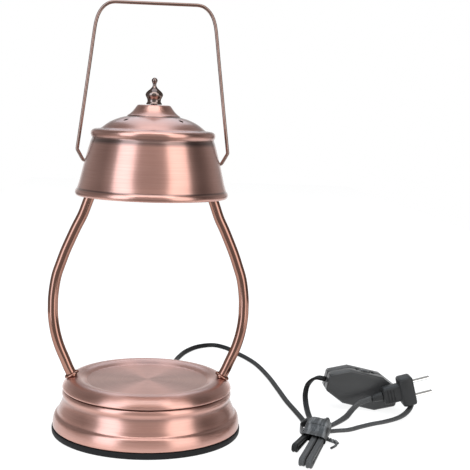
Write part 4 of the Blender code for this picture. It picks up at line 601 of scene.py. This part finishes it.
line = evenly(fine_line([(x / 1000, 0, PIVOT_HEIGHT + z / 1000) for x, z in route], 8), 0.001)
bail = bent_tube("bail_wire", line, WIRE_RADIUS, bail_copper, "bail", roundness=4)
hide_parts("bail_handle")

# In-line dimmer.
# Two half shells of black ABS, moulded with a fine grain that leaves them satin, and screwed together round
# the control. The edge of a ridged wheel stands out of the top, to turn the light up and down.


def refined(node, name, edge_mm, finish, body="lamp", steps=3, angle=35):
    """A copy of a CAD node, welded, with its sharp edges rounded."""
    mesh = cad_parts[node].data.copy()
    mesh.name = name
    shape = bmesh.new()
    shape.from_mesh(mesh)
    bmesh.ops.remove_doubles(shape, verts=shape.verts, dist=0.00002)
    bmesh.ops.dissolve_limit(shape, angle_limit=math.radians(1), verts=shape.verts, edges=shape.edges)
    shape.to_mesh(mesh)
    shape.free()
    piece = linked(name, mesh, finish, body)
    edge = piece.modifiers.new("edge", "BEVEL")
    edge.width = edge_mm / 1000
    edge.segments = steps
    edge.limit_method = "ANGLE"
    edge.angle_limit = math.radians(angle)
    edge.use_clamp_overlap = True
    select_only(piece)
    bpy.ops.object.modifier_apply(modifier="edge")
    bpy.ops.object.shade_smooth_by_angle(angle=math.radians(32))
    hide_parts(node)
    return piece


abs_plastic = moulded("moulded_abs", "3b3b3b", 0.30, 0.35, 0.02)
front_shell = refined("dimmer_front_shell", "dimmer_front_case", 0.35, abs_plastic)
back_shell = refined("dimmer_back_shell", "dimmer_back_case", 0.35, abs_plastic)
wheel = refined("dimmer_wheel", "ridged_wheel", 0.12, abs_plastic, "thumbwheel", steps=2)

# Plug.
# A two-pin plug moulded on the cord in black PVC, softer and more matt than the dimmer's ABS, with a ribbed
# grip and a tapered tail. Its blades, carried over from the frame, are nickel-plated brass.
plug_pvc = moulded("moulded_pvc", "2d2d2d", 0.42, 0.4, 0.03, shine=0.3)
plug = refined("plug_body", "plug_moulding", 0.3, plug_pvc, angle=50)
plug_tail = refined("plug_relief", "plug_tail", 0.2, plug_pvc, angle=50)

# Wire tie.
# A flat strip of glossy black plastic with a wire core, wound round the hank's waist and creased by it. It
# starts with a slack loop on the left, and its two ends are twisted together on the right.
STRIP_WIDTH, STRIP_THICKNESS, SLACK_WIDTH = 0.0150, 0.0005, 0.0068
WINDINGS, WINDING_PITCH, FIRST_WINDING = 2.65, 0.0085, 0.0005
TURN_STEPS = 36                         # points along the strip for each turn
STRIP_CLEARANCE = 0.0006                # between the strip's middle and the paper
SLANT = 0.45                            # how far along the hank the strip goes for its way across
UNEVENNESS = 0.0004                     # how far a winding strays along the hank
LAPPING = 0.00048                       # how much further out one edge lies, to lap over the winding before
ACROSS = (-0.5, -0.25, 0.0, 0.25, 0.5)  # the strip's points from edge to edge, as shares of its width
tie_plastic, tree, shader = finish_named("creased_tie_plastic", roughness=0.45)
place = add_node(tree, "ShaderNodeTexCoord").outputs["Object"]
along_hank = add_node(tree, "ShaderNodeMapping", {"Vector": place}, {"Rotation": (0, 0, -hank_heading)})
creases = (28, 430, 330)    # to the metre: each runs 36 mm along the hank and is 2 to 3 mm wide
crease = add_node(tree, "ShaderNodeMapping", {"Vector": along_hank.outputs["Vector"]}, {"Scale": creases})
folds = add_node(tree, "ShaderNodeTexNoise", {"Vector": crease.outputs["Vector"]}, {"Scale": 1.0, "Detail": 2})
crease_bump = add_node(tree, "ShaderNodeBump", {"Height": folds.outputs["Fac"]},
                       {"Strength": 0.6, "Distance": 0.0007})
tree.links.new(crease_bump.outputs["Normal"], shader.inputs["Normal"])
# The strip is grey along the ridges of its creases and near black between them: painted highlights and painted
# shade on the creases.
crease_light_and_shade = add_node(tree, "ShaderNodeValToRGB", {"Fac": folds.outputs["Fac"]})
for element, (spot, tone) in zip(crease_light_and_shade.color_ramp.elements, ((0.43, "303030"), (0.70, "7c7c7c"))):
    element.position, element.color = spot, linear(tone)
tree.links.new(crease_light_and_shade.outputs["Color"], shader.inputs["Base Color"])


def ribbon(shape, rows):
    """Joins rows of points, each across the strip, into its faces."""
    rows = [[shape.verts.new(spot) for spot in row] for row in rows]
    for first, second in zip(rows, rows[1:]):
        for k in range(len(first) - 1):
            shape.faces.new((first[k], first[k + 1], second[k + 1], second[k]))


def waist_point(p, angle):
    """A spot on the hank's waist, an oblong with rounded corners.

    It grows wider and lower towards the folds and drifts to the left, and the windings slant across it."""
    ease = min(1.0, max(0.0, (p - 0.005) / 0.018))
    half_width = 0.0094 + 0.03 * p
    half_height = 0.0059 - 0.0025 * ease * ease * (3 - 2 * ease)
    q = half_width * math.copysign(abs(math.cos(angle)) ** 0.5, math.cos(angle)) - 0.045 * p
    z = half_height * (math.copysign(abs(math.sin(angle)) ** 0.5, math.sin(angle)) + 1) + STRIP_CLEARANCE
    return hank_point(p + SLANT * q, q, z)


shape = bmesh.new()
windings = []
for k in range(round(WINDINGS * TURN_STEPS) + 1):
    turns = k / TURN_STEPS
    angle = 2 * math.pi * turns - math.pi / 2
    p = FIRST_WINDING + WINDING_PITCH * turns + UNEVENNESS * math.sin(2.7 * angle)
    away = (hank_across * math.cos(angle) + Vector((0, 0, math.sin(angle)))).normalized()
    windings.append([waist_point(p + STRIP_WIDTH * share, angle) + away * (LAPPING * share) for share in ACROSS])
ribbon(shape, windings)
slack = [(13, -9.8, 3.8), (10.5, -12.4, 3.8), (6, -14.8, 3.8), (0, -15.8, 3.9), (-5, -15.2, 4.3), (-9, -13.4, 5.2),
         (-9.5, -11, 6.2), (-6, -9.4, 7.0)]
slack_line = evenly(fine_line([hank_point(p / 1000, q / 1000, z / 1000) for p, q, z in slack], 6), 0.0012)
ribbon(shape, [[spot + Vector((0, 0, SLACK_WIDTH * share)) for share in ACROSS] for spot in slack_line])
mesh = bpy.data.meshes.new("hank_tie")
shape.to_mesh(mesh)
shape.free()
tie = linked("hank_tie", mesh, tie_plastic)
sheet = tie.modifiers.new("sheet", "SOLIDIFY")
sheet.thickness, sheet.offset = STRIP_THICKNESS, 0
smooth = tie.modifiers.new("smooth", "SUBSURF")
smooth.levels = smooth.render_levels = 1
apply_all(tie)
tie.data.shade_smooth()
tie_ends = []
for number, ends in enumerate(([(28.0, 17.6), (33.0, 17.0), (38.0, 15.0)], [(26.0, 19.0)])):
    twist = []
    for k in range(13):
        angle = k * 0.9 + number * math.pi
        beside = Vector((math.cos(angle), 0, math.sin(angle))) * 0.0008
        twist.append(hank_point(0.0200 + 0.0004 * k, 0.0090 + 0.0006 * k, 0.0028) + beside)
    twist += [hank_point(p / 1000, q / 1000, 0.0018) for p, q in ends]
    line = evenly(fine_line(twist, 4), 0.0006)
    tie_ends.append(bent_tube(f"tie_end_{number + 1}", line, 0.0010, tie_plastic, roundness=2))
for piece in [tie] + tie_ends:
    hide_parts("twist_tie")

# Small metal and ceramic pieces carried over from the frame.
# Zinc-plated steel, brass, nickel-plated brass, steatite and glass, each with the faint unevenness that its
# making leaves. Most of them sit inside the lamp.
MARK_MM = 2.4   # between the clouds that turning, plating or firing leaves


def machined(name, colour, roughness, metallic=1.0):
    """Plain metal, or ceramic at a metallic of 0, with faint clouds in its colour and surface."""
    made, tree, shader = finish_named(name, metallic=metallic, roughness=roughness)
    place = add_node(tree, "ShaderNodeTexCoord").outputs["Object"]
    cloud = add_node(tree, "ShaderNodeTexNoise", {"Vector": place}, {"Scale": 1000 / MARK_MM, "Detail": 4})
    deep = tuple(c * 0.8 for c in linear(colour)[:3]) + (1.0,)
    tint = add_node(tree, "ShaderNodeMix", {"Factor": cloud.outputs["Fac"]}, {6: deep, 7: linear(colour)},
                    data_type="RGBA")
    tree.links.new(tint.outputs[2], shader.inputs["Base Color"])
    bump = add_node(tree, "ShaderNodeBump", {"Height": cloud.outputs["Fac"]},
                    {"Strength": 0.2, "Distance": 0.00003})
    tree.links.new(bump.outputs["Normal"], shader.inputs["Normal"])
    return made


zinc = machined("zinc_plated_steel", "b9babc", 0.32)
nickel = machined("nickel_plated_brass", "e6e4e0", 0.14)
brass = machined("drawn_brass", "c8a65e", 0.28)
steatite = machined("steatite", "ece8df", 0.55, metallic=0.0)
board = machined("lacquered_board", "1f5a38", 0.4, metallic=0.0)
clear_glass, tree, shader = finish_named("clear_glass", roughness=0.04, ior=1.5, base_color=linear("f4f7f8"),
                                         transmission_weight=1.0)
place = add_node(tree, "ShaderNodeTexCoord").outputs["Object"]
FACET_MM = 3.125    # the lens is pressed with small facets that spread the light
lens_cells = add_node(tree, "ShaderNodeTexVoronoi", {"Vector": place}, {"Scale": 1000 / FACET_MM})
lens_bump = add_node(tree, "ShaderNodeBump", {"Height": lens_cells.outputs["Distance"]},
                     {"Strength": 0.5, "Distance": 0.0006})
tree.links.new(lens_bump.outputs["Normal"], shader.inputs["Normal"])
mirror_glass = machined("aluminised_glass", "d9dcdf", 0.12)
finishes = {
    zinc: ["base_cover", "cover_screw_1", "cover_screw_2", "cover_screw_3", "crossbar", "centre_rod",
           "socket_screw_right", "socket_screw_left", "dimmer_screw_right", "dimmer_screw_left"],
    brass: ["right_base_nut", "left_base_nut", "right_top_nut", "right_lock_nut", "left_top_nut", "left_lock_nut",
            "rod_lower_nut", "rod_upper_nut"],
    nickel: ["plug_blade_upper", "plug_blade_lower"],
    steatite: ["lamp_socket", "bulb_base", "terminal_block"],
    clear_glass: ["bulb_lens", "bulb_capsule"],
    mirror_glass: ["bulb_reflector"],
    abs_plastic: ["dimmer_pot"],
    board: ["dimmer_board"],
    rubber: ["cord_relief", "cord_inner_end", "lamp_wire"],
}
for finish, nodes in finishes.items():
    for node in nodes:
        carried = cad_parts[node]
        carried.data.materials.clear()
        carried.data.materials.append(finish)

# Studio.
# A white sheet under the lamp, a tall softbox on each side of the camera, one above it and one above and behind
# the lamp. The rest of the room is grey, which gives the copper its bands, and plain white behind the lamp.
# The paper is 1.2 m wide and runs from 0.16 m in front of the lamp to 3 m behind it.
PAPER_GLOW, SHADOW_LOSS = 0.88, 0.7
deselect()
bpy.ops.mesh.primitive_plane_add(size=1, location=(0.15, 1.42, 0))
floor = bpy.context.object
floor.name = "floor"
floor.scale = (1.2, 3.16, 1)
apply_all(floor)
paper, tree, shader = finish_named("white_paper", roughness=0.9, base_color=linear("ffffff"),
                                   specular_ior_level=0.1)
# The camera, and metal or glass that mirrors the paper, see it glow over a faint shadow. To all other light it
# is plain paper.
glow = add_node(tree, "ShaderNodeEmission", values={"Color": (PAPER_GLOW, PAPER_GLOW, PAPER_GLOW, 1)})
seen = add_node(tree, "ShaderNodeLightPath")
sharp = add_node(tree, "ShaderNodeMath", {0: seen.outputs["Is Glossy Ray"], 1: seen.outputs["Is Transmission Ray"]},
                 operation="MAXIMUM")
weight = add_node(tree, "ShaderNodeMath", {0: seen.outputs["Is Camera Ray"], 1: sharp.outputs[0]},
                  operation="MAXIMUM")
tree.links.new(weight.outputs[0], glow.inputs["Strength"])
dimmed = add_node(tree, "ShaderNodeMath", {0: weight.outputs[0]}, {1: SHADOW_LOSS}, operation="MULTIPLY")
shown = add_node(tree, "ShaderNodeMixShader", {0: dimmed.outputs[0], 1: shader.outputs["BSDF"]})
blend = add_node(tree, "ShaderNodeAddShader", {0: shown.outputs["Shader"], 1: glow.outputs["Emission"]})
tree.links.new(blend.outputs["Shader"], tree.nodes["Material Output"].inputs["Surface"])
floor.data.materials.append(paper)

world = bpy.data.worlds.new("studio")
bpy.context.scene.world = world
world.use_nodes = True
tree = world.node_tree
tree.nodes.clear()
place = add_node(tree, "ShaderNodeTexCoord").outputs["Generated"]
way = add_node(tree, "ShaderNodeSeparateXYZ", {"Vector": place})
# The walls' grey at each bearing, in degrees from the wall behind the camera, with the right side positive.
front = add_node(tree, "ShaderNodeMath", {0: way.outputs["Y"]}, {1: -1}, operation="MULTIPLY")
bearing = add_node(tree, "ShaderNodeMath", {0: way.outputs["X"], 1: front.outputs[0]}, operation="ARCTAN2")
share = add_node(tree, "ShaderNodeMapRange", {"Value": bearing.outputs[0]},
                 {"From Min": -math.pi, "From Max": math.pi})
room = add_node(tree, "ShaderNodeValToRGB", {"Fac": share.outputs["Result"]})
stops = [(-180, 0.40), (-155, 0.36), (-135, 0.32), (-112, 0.25), (-88, 0.20), (-77, 0.33), (-25, 0.37),
         (0, 0.39), (25, 0.38), (60, 0.31), (77, 0.14), (88, 0.09), (101, 0.14), (118, 0.27), (135, 0.32),
         (155, 0.36), (180, 0.40)]
room.color_ramp.elements[0].position, room.color_ramp.elements[1].position = 0.0, 1.0
for angle, grey in stops[1:-1]:
    room.color_ramp.elements.new((angle + 180) / 360)
for element, (angle, grey) in zip(room.color_ramp.elements, stops):
    element.color = (grey, grey, grey, 1)
# They are lightest a little above the horizon, and turn into an even dark floor below it.
rise = add_node(tree, "ShaderNodeMath", {0: way.outputs["Z"]}, {1: 0.13}, operation="SUBTRACT")
off_level = add_node(tree, "ShaderNodeMath", {0: rise.outputs[0]}, operation="ABSOLUTE")
level_glow = add_node(tree, "ShaderNodeMapRange", {"Value": off_level.outputs[0]},
                      {"From Min": 0, "From Max": 0.22, "To Min": 1.7, "To Max": 1})
walls = add_node(tree, "ShaderNodeVectorMath", {0: room.outputs["Color"], "Scale": level_glow.outputs["Result"]},
                 operation="SCALE")
below = add_node(tree, "ShaderNodeMapRange", {"Value": way.outputs["Z"]}, {"From Min": -0.14, "From Max": -0.04})
dim = add_node(tree, "ShaderNodeMix", {"Factor": below.outputs["Result"], 7: walls.outputs["Vector"]},
               {6: (0.30, 0.30, 0.30, 1)}, data_type="RGBA")
# The camera and clear glass see plain white all round, and metal mirrors it low behind the lamp.
path = add_node(tree, "ShaderNodeLightPath")
behind = add_node(tree, "ShaderNodeMath", {0: way.outputs["Y"]}, {1: 0.90}, operation="GREATER_THAN")
low = add_node(tree, "ShaderNodeMath", {0: way.outputs["Z"]}, {1: 0.14}, operation="LESS_THAN")
backdrop = add_node(tree, "ShaderNodeMath", {0: behind.outputs[0], 1: low.outputs[0]}, operation="MULTIPLY")
mirrored = add_node(tree, "ShaderNodeMath", {0: path.outputs["Is Glossy Ray"], 1: backdrop.outputs[0]},
                    operation="MULTIPLY")
clear = add_node(tree, "ShaderNodeMath", {0: path.outputs["Is Camera Ray"], 1: path.outputs["Is Transmission Ray"]},
                 operation="MAXIMUM")
white = add_node(tree, "ShaderNodeMath", {0: clear.outputs[0], 1: mirrored.outputs[0]}, operation="MAXIMUM")
whole = add_node(tree, "ShaderNodeMix", {"Factor": white.outputs[0], 6: dim.outputs[2]}, {7: (1, 1, 1, 1)},
                 data_type="RGBA")
surround = add_node(tree, "ShaderNodeBackground", {"Color": whole.outputs[2]}, {"Strength": 1.0})
add_node(tree, "ShaderNodeOutputWorld", {"Surface": surround.outputs["Background"]})


LAMP_MIDDLE = Vector((0, 0, 0.18))


def soft_lamp(name, bearing, rise, distance, width, height, radiance, warmth=0.0):
    """A rectangular softbox that faces the lamp's middle, at a bearing and rise in degrees.

    radiance is how bright its face is; warmth tips its white towards red, or blue below 0."""
    data = bpy.data.lights.new(name, "AREA")
    data.shape = "RECTANGLE"
    data.size, data.size_y = width, height
    data.color = (1 + warmth, 1, 1 - warmth)
    data.energy = radiance * math.pi * width * height
    lamp = bpy.data.objects.new(name, data)
    bpy.context.scene.collection.objects.link(lamp)
    bearing, rise = math.radians(bearing), math.radians(rise)
    towards = Vector((math.sin(bearing) * math.cos(rise), -math.cos(bearing) * math.cos(rise), math.sin(rise)))
    lamp.location = LAMP_MIDDLE + towards * distance
    lamp.rotation_euler = towards.to_track_quat("Z", "Y").to_euler()


soft_lamp("left_softbox", -48.5, 19, 1.6, 0.88, 2.4, 2.1, -0.12)
soft_lamp("right_softbox", 45.5, 19, 1.6, 0.98, 2.4, 1.65)
soft_lamp("back_softbox", 180, 62, 1.5, 1.0, 2.2, 1.1, -0.15)
soft_lamp("front_softbox", 0, 68, 1.5, 1.4, 0.75, 2.2)
